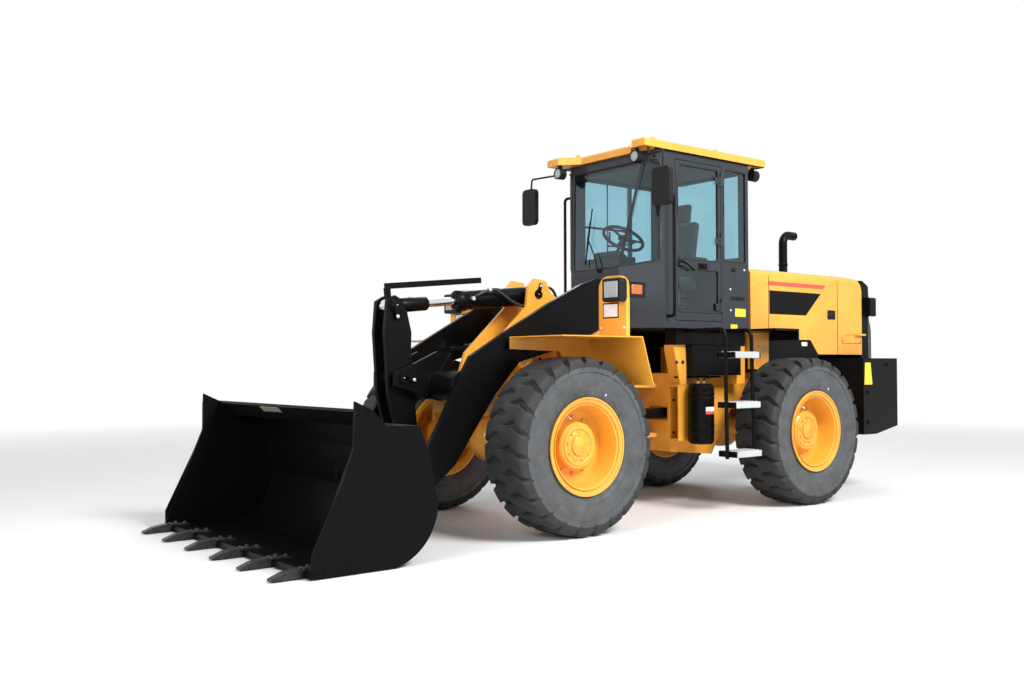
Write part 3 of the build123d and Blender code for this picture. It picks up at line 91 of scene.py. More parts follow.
class Sheet:
    """The nodes of a material or of the world, with short calls for those that the finishes share."""

    def __init__(self, owner, shader="Principled BSDF", output="Material Output"):
        self.owner = owner
        owner.use_nodes = True
        self.nodes, self.links = owner.node_tree.nodes, owner.node_tree.links
        self.shader, self.output = self.nodes[shader], self.nodes[output]

    def fill(self, node, sockets):
        """Fill a node's inputs with numbers, colours or other nodes' outputs."""
        for key, value in dict(sockets).items():
            if isinstance(value, bpy.types.NodeSocket):
                self.links.new(value, node.inputs[key])
            else:
                node.inputs[key].default_value = (*value, 1.0) if isinstance(value, tuple) else value

    def node(self, kind, sockets=(), **values):
        made = self.nodes.new("ShaderNode" + kind)
        for key, value in values.items():
            setattr(made, key, value)
        self.fill(made, sockets)
        return made

    def place(self):
        return self.node("TexCoord").outputs["Object"]

    def noise(self, scale, detail=4.0, rough=0.6):
        sockets = {"Scale": scale, "Detail": detail, "Roughness": rough, "Vector": self.place()}
        return self.node("TexNoise", sockets).outputs["Fac"]

    def wave(self, scale, direction, distortion=0.0):
        sockets = {"Scale": scale, "Distortion": distortion, "Vector": self.place()}
        return self.node("TexWave", sockets, bands_direction=direction).outputs["Fac"]

    def spread(self, value, low, high, out_low=0.0, out_high=1.0):
        sockets = {"Value": value, "From Min": low, "From Max": high, "To Min": out_low, "To Max": out_high}
        return self.node("MapRange", sockets).outputs["Result"]

    def math(self, how, first, second):
        return self.node("Math", {0: first, 1: second}, operation=how).outputs["Value"]

    def times(self, first, second):
        return self.math("MULTIPLY", first, second)

    def mix(self, share, first, second):
        return self.node("MixRGB", {"Fac": share, "Color1": first, "Color2": second}).outputs["Color"]

    def height(self):
        return self.node("SeparateXYZ", {"Vector": self.place()}).outputs["Z"]

    def soft_normal(self, radius):
        return self.node("Bevel", {"Radius": radius}, samples=4).outputs["Normal"]

    def edges(self, radius):
        """1 on outer and inner edges, 0 on flat faces."""
        normals = {0: self.soft_normal(radius), 1: self.node("NewGeometry").outputs["Normal"]}
        dot = self.node("VectorMath", normals, operation="DOT_PRODUCT")
        return self.spread(dot.outputs["Value"], 0.995, 0.90)

    def relief(self, value, strength, distance, round_edge=0.0):
        """Bumps from a value, over edges that look rounded by round_edge."""
        bump = self.node("Bump", {"Strength": strength, "Distance": distance, "Height": value})
        if round_edge:
            self.fill(bump, {"Normal": self.soft_normal(round_edge)})
        self.fill(self.shader, {"Normal": bump.outputs["Normal"]})

    def use(self, colour, rough, **numbers):
        """Colour and roughness for the main shader, and numbers for sockets named with _ for each space."""
        self.fill(self.shader, {"Base Color": colour, "Roughness": rough})
        self.fill(self.shader, {key.replace("_", " "): value for key, value in numbers.items()})

    def blend(self, share, other):
        """Send the main shader out, mixed with another one by a share."""
        shaders = {"Fac": share, 1: self.shader.outputs[0], 2: other.outputs[0]}
        self.fill(self.output, {"Surface": self.node("MixShader", shaders).outputs["Shader"]})


def shade(colour, by):
    return tuple(min(c * by, 1.0) for c in colour)


def painted(name, colour, rough=(0.28, 0.42), coat=0.25, dust=0.12, wear=0.35, worn=(0.30, 0.28, 0.25),
            metallic=0.0, grain=(900.0, 0.06), round_edge=0.004, shine=0.5):
    """Sprayed paint or bare metal: slight mottling, orange peel, dust low down, rubbed edges."""
    sheet = Sheet(bpy.data.materials.new(name))
    fine = sheet.noise(38.0, 6.0)
    tone = sheet.mix(sheet.spread(sheet.noise(2.2), 0.35, 0.65), shade(colour, 0.86), shade(colour, 1.06))
    low_down = sheet.spread(sheet.height(), 1.1, 0.15)
    film = sheet.times(sheet.times(low_down, sheet.spread(fine, 0.40, 0.72)), dust)
    tone = sheet.mix(film, tone, DUST)
    if wear:
        rubbed = sheet.times(sheet.edges(round_edge), sheet.spread(fine, 0.52, 0.66, 0.0, wear))
        tone = sheet.mix(rubbed, tone, worn)
    sheet.use(tone, sheet.math("ADD", sheet.spread(fine, 0.3, 0.7, *rough), sheet.times(film, 0.8)),
              Metallic=metallic, Specular_IOR_Level=shine, Coat_Weight=coat, Coat_Roughness=0.12)
    sheet.relief(sheet.noise(grain[0], 2.0), grain[1], 0.002, round_edge)
    return sheet.owner


def rubber(name, colour, dusty, rough=(0.62, 0.85), bump=(260.0, 0.25)):
    """Rubber with a dusty bloom and paler specks."""
    sheet = Sheet(bpy.data.materials.new(name))
    speck = sheet.noise(150.0, 4.0)
    tone = sheet.mix(sheet.spread(sheet.noise(7.0, 8.0, 0.7), 0.38, 0.68), colour, dusty)
    tone = sheet.mix(sheet.spread(speck, 0.55, 0.75, 0.0, 0.35), tone, shade(dusty, 1.5))
    sheet.use(tone, sheet.spread(speck, 0.3, 0.7, *rough))
    sheet.relief(sheet.noise(bump[0], 3.0), bump[1], 0.0015, 0.003)
    return sheet.owner


def glazing(name, tint):
    """Tinted glass, slightly smeared; its shadow is clear, in its own tint."""
    sheet = Sheet(bpy.data.materials.new(name))
    smear = sheet.noise(3.0, 6.0)
    sheet.use(sheet.mix(sheet.spread(smear, 0.3, 0.7), shade(tint, 0.97), tint),
              sheet.spread(smear, 0.45, 0.75, 0.02, 0.07), Transmission_Weight=1.0, IOR=1.45)
    in_shadow = sheet.node("LightPath").outputs["Is Shadow Ray"]
    sheet.blend(in_shadow, sheet.node("BsdfTransparent", {"Color": tint}))
    return sheet.owner


def woven(name, colour):
    """Cloth with threads running both ways."""
    sheet = Sheet(bpy.data.materials.new(name))
    weave = sheet.times(sheet.wave(420.0, "X", 0.6), sheet.wave(420.0, "Y", 0.6))
    sheet.use(sheet.mix(weave, shade(colour, 0.8), colour), sheet.spread(weave, 0.0, 1.0, 0.8, 0.92),
              Sheen_Weight=0.3)
    sheet.relief(weave, 0.15, 0.0005)
    return sheet.owner


def lens(name, colour):
    """A moulded lamp lens with fine ribs."""
    sheet = Sheet(bpy.data.materials.new(name))
    ribs = sheet.wave(90.0, "DIAGONAL")
    sheet.use(sheet.mix(ribs, shade(colour, 0.72), colour), sheet.spread(ribs, 0.0, 1.0, 0.08, 0.2),
              Coat_Weight=0.8, Coat_Roughness=0.05)
    sheet.relief(ribs, 0.35, 0.002)
    return sheet.owner


FINISH = {
    "yellow": painted("yellow_enamel", (0.84, 0.37, 0.042), coat=0.25, dust=0.05, wear=0.2,
                      worn=(0.60, 0.32, 0.05)),
    "rim": painted("rim_enamel", (0.82, 0.37, 0.035), rough=(0.3, 0.45), coat=0.2, dust=0.05, wear=0.15,
                   worn=(0.5, 0.26, 0.05)),
    "black": painted("black_enamel", (0.0028, 0.003, 0.0034), rough=(0.28, 0.4), coat=0.0, dust=0.004,
                     wear=0.2, worn=(0.02, 0.02, 0.022), shine=0.1),
    "bucket": painted("bucket_enamel", (0.0020, 0.0023, 0.0028), rough=(0.34, 0.46), coat=0.0, dust=0.004,
                      wear=0.28, worn=(0.025, 0.025, 0.027), grain=(420.0, 0.05), shine=0.08),
    "steel_edge": painted("worn_steel", (0.022, 0.025, 0.03), rough=(0.32, 0.5), coat=0.0, metallic=0.3,
                          dust=0.06, wear=0.6, worn=(0.16, 0.16, 0.17), grain=(300.0, 0.15), shine=0.35),
    "cab": painted("cab_enamel", (0.0165, 0.0215, 0.0285), rough=(0.32, 0.46), coat=0.1, dust=0.02, wear=0.15,
                   worn=(0.08, 0.09, 0.10), shine=0.4),
    "plastic": painted("moulded_plastic", (0.007, 0.0075, 0.008), rough=(0.42, 0.6), coat=0.0, dust=0.01,
                       wear=0.1, worn=(0.03, 0.03, 0.03), grain=(1500.0, 0.15), shine=0.22),
    "weight": painted("cast_iron_paint", (0.0035, 0.0038, 0.0042), rough=(0.34, 0.48), coat=0.0, dust=0.006,
                      wear=0.22, worn=(0.03, 0.03, 0.03), grain=(160.0, 0.1), shine=0.12),
    "iron": painted("engine_iron", (0.05, 0.05, 0.055), rough=(0.45, 0.7), coat=0.0, metallic=0.4,
                    grain=(200.0, 0.3)),
    "chrome": painted("chromed_rod", (0.78, 0.79, 0.80), rough=(0.06, 0.14), coat=0.0, dust=0.02, wear=0.0,
                      metallic=1.0, grain=(500.0, 0.01), round_edge=0.001),
    "zinc": painted("zinc_plate", (0.66, 0.66, 0.64), rough=(0.3, 0.5), coat=0.0, dust=0.05, wear=0.0,
                    metallic=0.7, grain=(600.0, 0.08), round_edge=0.001),
    "grip": painted("galvanised_grip", (0.50, 0.52, 0.53), rough=(0.4, 0.6), coat=0.0, dust=0.06, wear=0.2,
                    worn=(0.4, 0.4, 0.4), metallic=0.25, grain=(300.0, 0.2), round_edge=0.002),
    # The tyre is one rubber, but its sidewall is painted about five times paler than its tread: painted light
    # on the sidewall and painted shade on the tread, on top of the real dusty bloom.
    "tread": rubber("tread_rubber_painted_shade", (0.0085, 0.0095, 0.0105), (0.022, 0.024, 0.0255)),
    "wall": rubber("sidewall_rubber_painted_light", (0.042, 0.046, 0.050), (0.082, 0.088, 0.094), rough=(0.5, 0.68),
                   bump=(420.0, 0.12)),
    "gasket": rubber("gasket_rubber", (0.006, 0.006, 0.007), (0.012, 0.012, 0.013), rough=(0.45, 0.6)),
    "hose": rubber("hose_rubber", (0.007, 0.007, 0.008), (0.016, 0.016, 0.017), rough=(0.4, 0.55),
                   bump=(500.0, 0.2)),
    "glass": glazing("tinted_glass", (0.50, 0.72, 0.79)),
    "mirror": painted("mirror_glass", (0.75, 0.78, 0.8), rough=(0.02, 0.05), coat=0.0, dust=0.0, wear=0.0,
                      metallic=1.0, grain=(4.0, 0.002), round_edge=0.001),
    "fabric": woven("seat_cloth", (0.012, 0.0125, 0.015)),
    "clear_lens": lens("clear_lens", (0.40, 0.43, 0.45)),
    "amber": lens("amber_lens", (0.50, 0.12, 0.012)),
    "red_lens": lens("red_lens", (0.62, 0.02, 0.015)),
    "white": painted("white_print", (0.78, 0.78, 0.77), rough=(0.4, 0.55), coat=0.1, dust=0.02, wear=0.0),
    "card": painted("pale_plate", (0.20, 0.16, 0.12), rough=(0.5, 0.65), coat=0.0, dust=0.05, wear=0.1),
    "red": painted("red_stripe", (0.80, 0.075, 0.045), rough=(0.3, 0.42), coat=0.2, dust=0.02, wear=0.0),
    "strip": painted("yellow_strip", (0.86, 0.60, 0.03), rough=(0.35, 0.5), coat=0.2, dust=0.03, wear=0.0),
}

CAD_FINISH = {
    "yellow": ("rear_frame", "front_frame", "front_fenders", "hood", "front_axle", "rear_axle", "cab_roof",
               "lifting_eyes", "lift_barrel_left", "lift_barrel_right"),
    "rim": tuple("rim_" + w for w in WHEELS),
    "tread": tuple("tyre_" + w for w in WHEELS),
    "black": ("lift_arms", "bellcrank", "bucket_link", "side_boxes", "rear_fenders", "ladders", "air_tanks",
              "tilt_barrel", "level_rod", "exhaust_stack", "handrails", "rear_grille", "steer_barrel_left",
              "steer_barrel_right"),
    "bucket": ("bucket",),
    "steel_edge": ("bucket_teeth",),
    "cab": ("cab_shell", "cab_door"),
    "plastic": ("work_lamps", "mirrors", "head_lamps", "steering_wheel", "cab_console"),
    "weight": ("counterweight",),
    "iron": ("engine_block",),
    "chrome": ("tilt_rod", "lift_rod_left", "lift_rod_right", "steer_rod_left", "steer_rod_right"),
    "glass": ("cab_glass", "door_glass"),
    "fabric": ("cab_seat",),
}
for finish, names in CAD_FINISH.items():
    for name in names:
        node = nodes_of[name]
        if not node.material_slots:
            node.data.materials.append(FINISH[finish])
        for held in node.material_slots:
            held.material = FINISH[finish]


# ---------------------------------------------------------------- shapes
class Piece:
    """One mesh piece in the making. Every part of it is added in row-frame metres."""

    def __init__(self, name):
        self.name = name
        self.bm = bmesh.new()
        self.finishes = []

    def paint(self, finish):
        """Choose the finish of what is added next."""
        if finish not in self.finishes:
            self.finishes.append(finish)
        self.now = self.finishes.index(finish)

    def _mark(self, faces, smooth=False):
        for face in faces:
            face.material_index = self.now
            face.smooth = smooth

    def _soften(self, verts, bevel):
        """Mark the faces of a new flat-sided shape and round its corners."""
        self._mark({f for v in verts for f in v.link_faces})
        if bevel:
            edges = list({e for v in verts for e in v.link_edges if e.calc_face_angle(0) > 0.35})
            cut = bmesh.ops.bevel(self.bm, geom=edges, offset=bevel, segments=2, affect="EDGES", profile=0.6,
                                  clamp_overlap=True)
            self._mark(cut["faces"], True)

    def _circle(self, place, side, other, radius, steps):
        """A ring of vertices round place, in the plane of two unit vectors."""
        turns = [math.tau * k / steps for k in range(steps)]
        return [self.bm.verts.new(place + (side * math.cos(a) + other * math.sin(a)) * radius) for a in turns]

    def _skin(self, rings, smooth=True):
        """Faces from each ring of vertices to the next."""
        faces = []
        for a, b in zip(rings, rings[1:]):
            for k in range(len(a)):
                j = (k + 1) % len(a)
                faces.append(self.bm.faces.new((a[k], a[j], b[j], b[k])))
        self._mark(faces, smooth)
        return faces

    def _cap(self, rings):
        self._mark([self.bm.faces.new(rings[0][::-1]), self.bm.faces.new(rings[-1])])

    def _turned(self, profile, origin, axis, steps):
        """The rings of a turned form, from (distance along the axis, radius) in millimetres."""
        axis = Vector(axis).normalized()
        side = axis.orthogonal().normalized()
        other = axis.cross(side)
        return [self._circle(Vector(origin) + axis * (along / 1000), side, other, max(radius / 1000, 1e-5),
                             steps) for along, radius in profile]

    def box(self, low, high, bevel, turn=None, about=None):
        made = bmesh.ops.create_cube(self.bm, size=1.0)["verts"]
        size = [max(abs(b - a), 1e-5) for a, b in zip(low, high)]
        centre = Vector([(a + b) / 2 for a, b in zip(low, high)])
        bmesh.ops.scale(self.bm, vec=size, verts=made)
        bmesh.ops.translate(self.bm, vec=centre, verts=made)
        if turn is not None:
            bmesh.ops.rotate(self.bm, cent=about or centre, matrix=turn, verts=made)
        self._soften(made, bevel)

    def plate(self, outline, start, end, bevel):
        """A flat outline of (x, z) corners, pushed across from y = start to y = end."""
        rings = [[self.bm.verts.new((x, level, z)) for x, z in outline] for level in (start, end)]
        faces = [self.bm.faces.new(ring) for ring in rings] + self._skin(rings)
        bmesh.ops.recalc_face_normals(self.bm, faces=faces)
        self._soften(rings[0] + rings[1], bevel)

    def tube(self, points, radius, sides=14, bend=0.0):
        """A round bar along points, its corners rounded to the bend radius."""
        path = rounded(points, bend) if bend else [Vector(p) for p in points]
        rings, up = [], None
        for i, place in enumerate(path):
            ahead = path[min(i + 1, len(path) - 1)] - path[max(i - 1, 0)]
            ahead.normalize()
            if up is None:
                up = ahead.orthogonal().normalized()
            up = (up - ahead * up.dot(ahead)).normalized()
            rings.append(self._circle(place, up, ahead.cross(up), radius, sides))
        self._skin(rings)
        self._cap(rings)

    def spin(self, profile, origin, axis, steps=48, smooth=True):
        """A solid turned form."""
        rings = self._turned(profile, origin, axis, steps)
        self._skin(rings, smooth)
        self._cap(rings)

    def ring(self, profile, origin, axis, steps=96):
        """A turned form with a hole: the profile closes on itself and has no end caps."""
        rings = self._turned(profile, origin, axis, steps)
        self._skin(rings + rings[:1])

    def bolt(self, place, axis, size):
        """A washer and a hexagon head, seated at place and standing out along axis."""
        self.spin([(0, size * 1.25), (size * 0.22, size * 1.25), (size * 0.28, size * 1.15)], place, axis, 16)
        self.spin([(size * 0.25, size * 0.98), (size * 0.85, size * 0.98), (size * 1.0, size * 0.8)], place,
                  axis, 6, smooth=False)

    def bolt_circle(self, centre, axis, across, reach, count, size, first=0.0):
        """A circle of bolts, from the direction across towards Z; first shifts them by a share of a step."""
        for k in range(count):
            turn = math.tau * (k + first) / count
            arm = Vector(across) * math.cos(turn) + Vector((0, 0, math.sin(turn)))
            self.bolt(centre + arm * (reach / 1000), axis, size)

    def weld(self, points, radius):
        """A laid bead: a slightly lumpy round bar along an inner corner."""
        path = []
        for a, b in zip(points, points[1:]):
            count = max(2, int((b - a).length / 0.03))
            path += [a.lerp(b, k / count) for k in range(count)]
        path.append(points[-1])
        first = len(self.bm.verts)
        self.tube(path, radius, 7)
        self.bm.verts.ensure_lookup_table()
        for vert in list(self.bm.verts)[first:]:
            vert.co += Vector([random.uniform(-1, 1) * radius * 0.12 for _ in range(3)])

    def finish(self, body, slot, replaces=()):
        bmesh.ops.recalc_face_normals(self.bm, faces=self.bm.faces)
        mesh = bpy.data.meshes.new(self.name)
        self.bm.to_mesh(mesh)
        self.bm.free()
        for finish in self.finishes:
            mesh.materials.append(FINISH[finish])
        made = bpy.data.objects.new(self.name, mesh)
        scene.collection.objects.link(made)
        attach(made, body)
        if replaces:
            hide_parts(*replaces)


def rounded(points, bend):
    """The points of a bent bar: straight runs joined by arcs of the bend radius."""
    points = [Vector(p) for p in points]
    path = [points[0]]
    for before, here, after in zip(points, points[1:], points[2:]):
        a, b = (before - here), (after - here)
        reach = min(bend, a.length * 0.49, b.length * 0.49)
        start, end = here + a.normalized() * reach, here + b.normalized() * reach
        for k in range(7):
            t = k / 6
            path.append(start.lerp(here, t).lerp(here.lerp(end, t), t))
    path.append(points[-1])
    return path


# ---------------------------------------------------------------- tyres
LUGS = 24
# Half of the tyre's profile from the middle outwards: across, radius on a lug, radius in a groove.
TREAD = [
    (0.000, 0.6700, 0.6560), (0.020, 0.6700, 0.6420), (0.060, 0.6700, 0.6370), (0.100, 0.6693, 0.6360),
    (0.140, 0.6675, 0.6350), (0.172, 0.6645, 0.6320), (0.192, 0.6600, 0.6270), (0.204, 0.6530, 0.6190),
    (0.2115, 0.6430, 0.6090), (0.2160, 0.6300, 0.5980), (0.2190, 0.6120, 0.5870), (0.2205, 0.5900, 0.5740),
    (0.2212, 0.5720, 0.5660),
] + [(across, radius, radius) for across, radius in (
    # the plain sidewall down to the bead
    (0.2218, 0.5560), (0.2150, 0.5520), (0.2160, 0.5400), (0.2175, 0.5100), (0.2165, 0.4800),
    (0.2120, 0.4480), (0.2080, 0.4370), (0.2085, 0.4340), (0.2040, 0.4180), (0.1960, 0.4010),
    (0.1925, 0.3930), (0.1935, 0.3890), (0.1860, 0.3790), (0.1850, 0.3560), (0.1850, 0.3300)
)]
KINK_U = 0.100    # how far across a groove kinks, and where it turns down the shoulder
SHOULDER_U = 0.205


def groove_bend(across, radius):
    """How far round a groove's centre line has turned, in radians, from its tip on the sidewall."""
    if across >= SHOULDER_U:
        return -0.055 * (0.650 - radius) / 0.08
    if across >= KINK_U:
        return 0.094 * (SHOULDER_U - across) / (SHOULDER_U - KINK_U)
    return 0.094 - 0.034 * (KINK_U - across) / KINK_U


def groove_half(across, radius):
    """Half the width of a groove at its mouth, as a share of the pitch between lugs."""
    if radius < 0.645:
        return 0.13 * max(radius - 0.555, 0.0) / 0.09 + 0.02
    if across < 0.03:
        return 0.085
    return 0.13 + 0.035 * math.sin(math.pi * min(across / SHOULDER_U, 1.0))


def tyre_mesh():
    pitch = math.tau / LUGS
    piece = bmesh.new()
    rows = []
    stations = [(-u, top, low) for u, top, low in reversed(TREAD)] + TREAD[1:]
    for across, top, low in stations:
        side = 1 if across >= 0 else -1
        u = abs(across)
        bend = groove_bend(u, top)
        mouth = groove_half(u, top)
        floor = mouth * 0.52
        shares = [-floor, floor, mouth, mouth + 0.02, 0.25, 0.48 - mouth, 0.5 - mouth, 0.5 - floor,
                  0.5 + floor, 0.5 + mouth, 0.52 + mouth, 0.75, 0.98 - mouth, 1.0 - mouth]
        deep = (0, 1) if side > 0 else (7, 8)
        ring = []
        for lug in range(LUGS):
            for k, share in enumerate(shares):
                radius = low if k in deep else top
                if k in (2, 13) and side > 0 or k in (6, 9) and side < 0:
                    radius = top - 0.0025
                angle = (lug + share) * pitch + bend
                ring.append(piece.verts.new((radius * math.cos(angle), across, radius * math.sin(angle))))
        rows.append(ring)
    count = len(rows[0])
    for i, (a, b) in enumerate(zip(rows, rows[1:])):
        wall = min(abs(stations[i][0]), abs(stations[i + 1][0])) > 0.2195 or stations[i][1] < 0.56
        for k in range(count):
            j = (k + 1) % count
            face = piece.faces.new((a[k], a[j], b[j], b[k]))
            face.material_index = 1 if wall else 0
            face.smooth = True
    bmesh.ops.recalc_face_normals(piece, faces=piece.faces)
    mesh = bpy.data.meshes.new("lugged_tyre")
    piece.to_mesh(mesh)
    piece.free()
    # Tread faces take the darker rubber (painted shade) and sidewall faces the paler rubber (painted light).
    mesh.materials.append(FINISH["tread"])
    mesh.materials.append(FINISH["wall"])
    mesh.set_sharp_from_angle(angle=math.radians(38))
    return mesh


def make_tyres():
    base = tyre_mesh()
    flipped = base.copy()
    flipped.transform(Matrix.Scale(-1, 4, (0, 1, 0)))
    flipped.flip_normals()
    for wheel in WHEELS:
        low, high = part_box("tyre_" + wheel)
        mesh = (base if "left" in wheel else flipped).copy()
        turn = Matrix.Rotation(random.uniform(0, 0.2), 4, "Y")
        mesh.transform(Matrix.Translation((low + high) / 2) @ turn)
        made = bpy.data.objects.new("tread_" + wheel, mesh)
        scene.collection.objects.link(made)
        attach(made, "wheel_" + wheel)
        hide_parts("tyre_" + wheel)


# ---------------------------------------------------------------- wheel furniture
HUB_FACE = 0.095    # how far the hub's cover and the disc stand out from the wheel's middle
DISC_FACE = 0.020
RIM_EDGE = 0.205    # the rim's outer edge, from the wheel's middle
MARK_REACH = 0.425    # from the wheel's middle to the white mark on the tyre


def make_wheel_fittings():
    """The hub's cover, the bolts, the rim's lip, the valve and the white mark of each wheel."""
    for wheel in WHEELS:
        low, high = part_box("tyre_" + wheel)
        centre = (low + high) / 2
        axis = Vector((0, 1 if "left" in wheel else -1, 0))
        face = centre + axis * HUB_FACE
        piece = Piece("wheel_fittings_" + wheel)
        piece.paint("rim")
        piece.ring([(-2, 150), (4, 150), (7, 146), (7, 128), (3, 124), (-2, 124)], face, axis, 64)
        piece.spin([(0, 75), (10, 74), (14, 68), (15, 20), (18, 16), (18, 0)], face + axis * 0.004, axis, 48)
        piece.bolt_circle(face, axis, (1, 0, 0), 108, 9, 10, 0.3)
        piece.bolt_circle(centre + axis * DISC_FACE, axis, (1, 0, 0), 212, 12, 15)
        piece.ring([(0, 322.5), (6, 324.5), (12, 322.5), (4, 320.5)], centre + axis * (RIM_EDGE - 0.017),
                   axis)
        piece.paint("zinc")
        stem = centre + axis * (RIM_EDGE - 0.045) + Vector((0.18, 0, 0.245))
        piece.tube([stem, stem + axis * 0.012 + Vector((-0.02, 0, -0.028)),
                    stem + axis * 0.03 + Vector((-0.024, 0, -0.034))], 0.004, 10)
        piece.paint("white")
        mark = centre + Vector((-0.42, 0, 0.9075)) * MARK_REACH + axis * (RIM_EDGE + 0.0005)
        half = Vector((0.005, 0.0015, 0.016))
        piece.box(mark - half, mark + half, 0.0005, Matrix.Rotation(-0.433, 3, "Y"), mark)
        piece.finish("wheel_" + wheel, "yellow_paint")


# ---------------------------------------------------------------- helpers in millimetres
def slab(piece, low, high, bevel=3, turn=None, about=None):
    """A box from two opposite corners in millimetres, in any order."""
    a, b = spot(*low), spot(*high)
    piece.box([min(p) for p in zip(a, b)], [max(p) for p in zip(a, b)], bevel / 1000, turn, about)


def pair(piece, low, high, bevel=3):
    """Two boxes that mirror each other, from the corners of the left one."""
    for side in (1, -1):
        slab(piece, (low[0], side * low[1], low[2]), (high[0], side * high[1], high[2]), bevel)


def side_plate(piece, side, corners, start, end, bevel=0):
    """A flat shape of (x, z) corners, from start to end away from the machine's middle."""
    piece.plate([spot(x, 0, z).xz for x, z in corners], side * start / 1000, side * end / 1000, bevel / 1000)


def seal(piece, corners, radius=8, bend=35):
    """A rubber seal lying round an opening, from its corners in order."""
    points = [spot(*corner) for corner in corners]
    first = points[0].lerp(points[-1], 0.5)
    piece.tube([first] + points + [first], radius / 1000, 8, bend / 1000)


def wall_seal(piece, y, first, last):
    """A seal round an upright opening in a side wall, from two opposite (x, z) corners."""
    (x0, z0), (x1, z1) = first, last
    seal(piece, [(x0, y, z0), (x1, y, z0), (x1, y, z1), (x0, y, z1)])


def line(piece, points, radius, sides=10, bend=0):
    """A round bar along points, all of it in millimetres."""
    piece.tube([spot(*point) for point in points], radius / 1000, sides, bend / 1000)


def side_bolts(piece, side, y, places, size):
    """Bolts that stand out sideways, at (x, z) places."""
    for x, z in places:
        piece.bolt(spot(x, side * y, z), (0, side, 0), size)


def bead(piece, side, y, places, radius):
    """A weld bead along (x, z) places."""
    piece.weld([spot(x, side * y, z) for x, z in places], radius / 1000)


def keeper(piece, x, z, y, side, turn, reach=82):
    """The end of a pin: its cap, a grease nipple, and a keeper bar held by one bolt."""
    centre = spot(x, y * side, z)
    out = Vector((0, side, 0))
    arm = Vector((math.cos(turn), 0, math.sin(turn)))
    piece.paint("black")
    piece.spin([(-2, 36), (7, 36), (10, 32)], centre, out, 40)
    bar = Matrix.Rotation(-turn, 3, "Y")
    low, high = centre + Vector((-0.012, 0, -0.016)), centre + Vector((reach / 1000 + 0.022, 0, 0.016))
    low.y, high.y = sorted((centre.y + side * 0.004, centre.y + side * 0.015))
    piece.box(low, high, 0.003, bar, centre)
    piece.paint("zinc")
    piece.bolt(centre + arm * reach / 1000 + out * 0.015, out, 11)
    piece.spin([(0, 5), (6, 5), (10, 3)], centre + out * 0.014 - arm * 0.004, out, 12)


def cushion(name, centre, size, turn, crown, seams):
    """A padded block: rounded, crowned on its top, drawn in at its sides, with sewn channels across it."""
    bm = bmesh.new()
    bmesh.ops.create_cube(bm, size=2.0)
    bmesh.ops.subdivide_edges(bm, edges=bm.edges[:], cuts=27, use_grid_fill=True)
    half = Vector(size) / 2000
    soft = min(half) * 0.85
    for vert in bm.verts:
        u, v, w = vert.co
        raw = Vector((u * half.x, v * half.y, w * half.z))
        core = Vector([max(soft - h, min(h - soft, r)) for h, r in zip(half, raw)])
        arm = raw - core
        place = core + arm.normalized() * soft if arm.length > 1e-7 else raw
        place.x *= 1 - 0.035 * (1 - v * v) * abs(w)
        place.y *= 1 - 0.045 * (1 - u * u)
        if w > 0:
            dip = sum(math.exp(-((u - seam) / 0.035) ** 2) for seam in seams)
            sides = math.exp(-((abs(v) - 0.66) / 0.04) ** 2)
            place.z += (crown * (1 - u * u) * (1 - v * v) - 0.008 * dip * (1 - v ** 6) - 0.009 * sides) * w
        vert.co = turn @ place + spot(*centre)
    mesh = bpy.data.meshes.new(name)
    bm.to_mesh(mesh)
    bm.free()
    mesh.materials.append(FINISH["fabric"])
    mesh.shade_smooth()
    made = bpy.data.objects.new(name, mesh)
    scene.collection.objects.link(made)
    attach(made, "rear_body")
    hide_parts("cab_seat")


# ---------------------------------------------------------------- hood
HOOD_SIDE = 575.0
HOOD_SEAMS = ((-1450, 1240, 50), (-2575, 1383, 12))    # x, lower end, lean over the roof's corner
FILM = (HOOD_SIDE + 0.4, HOOD_SIDE + 1.2)    # the inner and outer face of a decal


def make_hood_trim():
    piece = Piece("hood_trim")
    for side in (1, -1):
        y = side * HOOD_SIDE
        piece.paint("gasket")
        for x, bottom, lean in HOOD_SEAMS:
            side_plate(piece, side, [(x - 4, bottom), (x + 4, bottom), (x + 4, 2128), (x - 4, 2128)], *FILM)
            line(piece, [(x, y + side * 0.2, 2128), (x + lean * 0.4, y - side * 19, 2171),
                         (x + lean, y - side * 62, 2189.5), (x + lean, 0, 2189.5)], 3.5, 6)
        side_plate(piece, side, [(-1455, 1586), (-1180, 1586), (-1180, 1581), (-1455, 1581)], *FILM)
        piece.paint("black")
        side_plate(piece, side, [(-1462, 1992), (-2290, 1992), (-2040, 1765), (-1462, 1765)], FILM[0],
                   HOOD_SIDE + 2)
        piece.paint("red")
        side_plate(piece, side, [(-1455, 2080), (-2378, 2080), (-2330, 2040), (-1455, 2040)], *FILM)
        # latch
        piece.paint("plastic")
        slab(piece, (-2528, y, 1738), (-2400, y + side * 10, 1830), 9)
        slab(piece, (-2509, y + side * 6, 1756), (-2419, y + side * 16, 1790), 5)
        # raised frame, shelf, bolts and a small plate
        piece.paint("yellow")
        for x0, z0, x1, z1 in ((-2660, 1592, -2985, 1592), (-2660, 1500, -2985, 1500),
                               (-2660, 1592, -2660, 1500), (-2985, 1592, -2985, 1500)):
            line(piece, [(x0, y + side * 2, z0), (x1, y + side * 2, z1)], 6, 8)
        slab(piece, (-3040, y - side * 30, 1578), (-2880, y + side * 32, 1598), 4)
        places = [(x, z) for x in (-1300, -1400, -2600, -2900) for z in (1450, 2050)]
        side_bolts(piece, side, HOOD_SIDE, places, 7)
        piece.paint("white")
        slab(piece, (-2055, y, 1460), (-1965, y + side * 2, 1500), 1)
    piece.finish("rear_body", "trim_plastic")


# ---------------------------------------------------------------- cab
WALL = 610.0    # half width of the cab, outside
PANE = WALL - 3    # where the panes' seals lie
PANE_TOP = 3070    # the height of the seals above the panes


def nose(along, z, side):
    """A point just inside the slanting wall beside the screen; along runs forward from the door post."""
    share = along / math.hypot(260, 300)
    return (30 + 260 * share - 3 * 0.756, side * (WALL - 300 * share - 3 * 0.655), z)


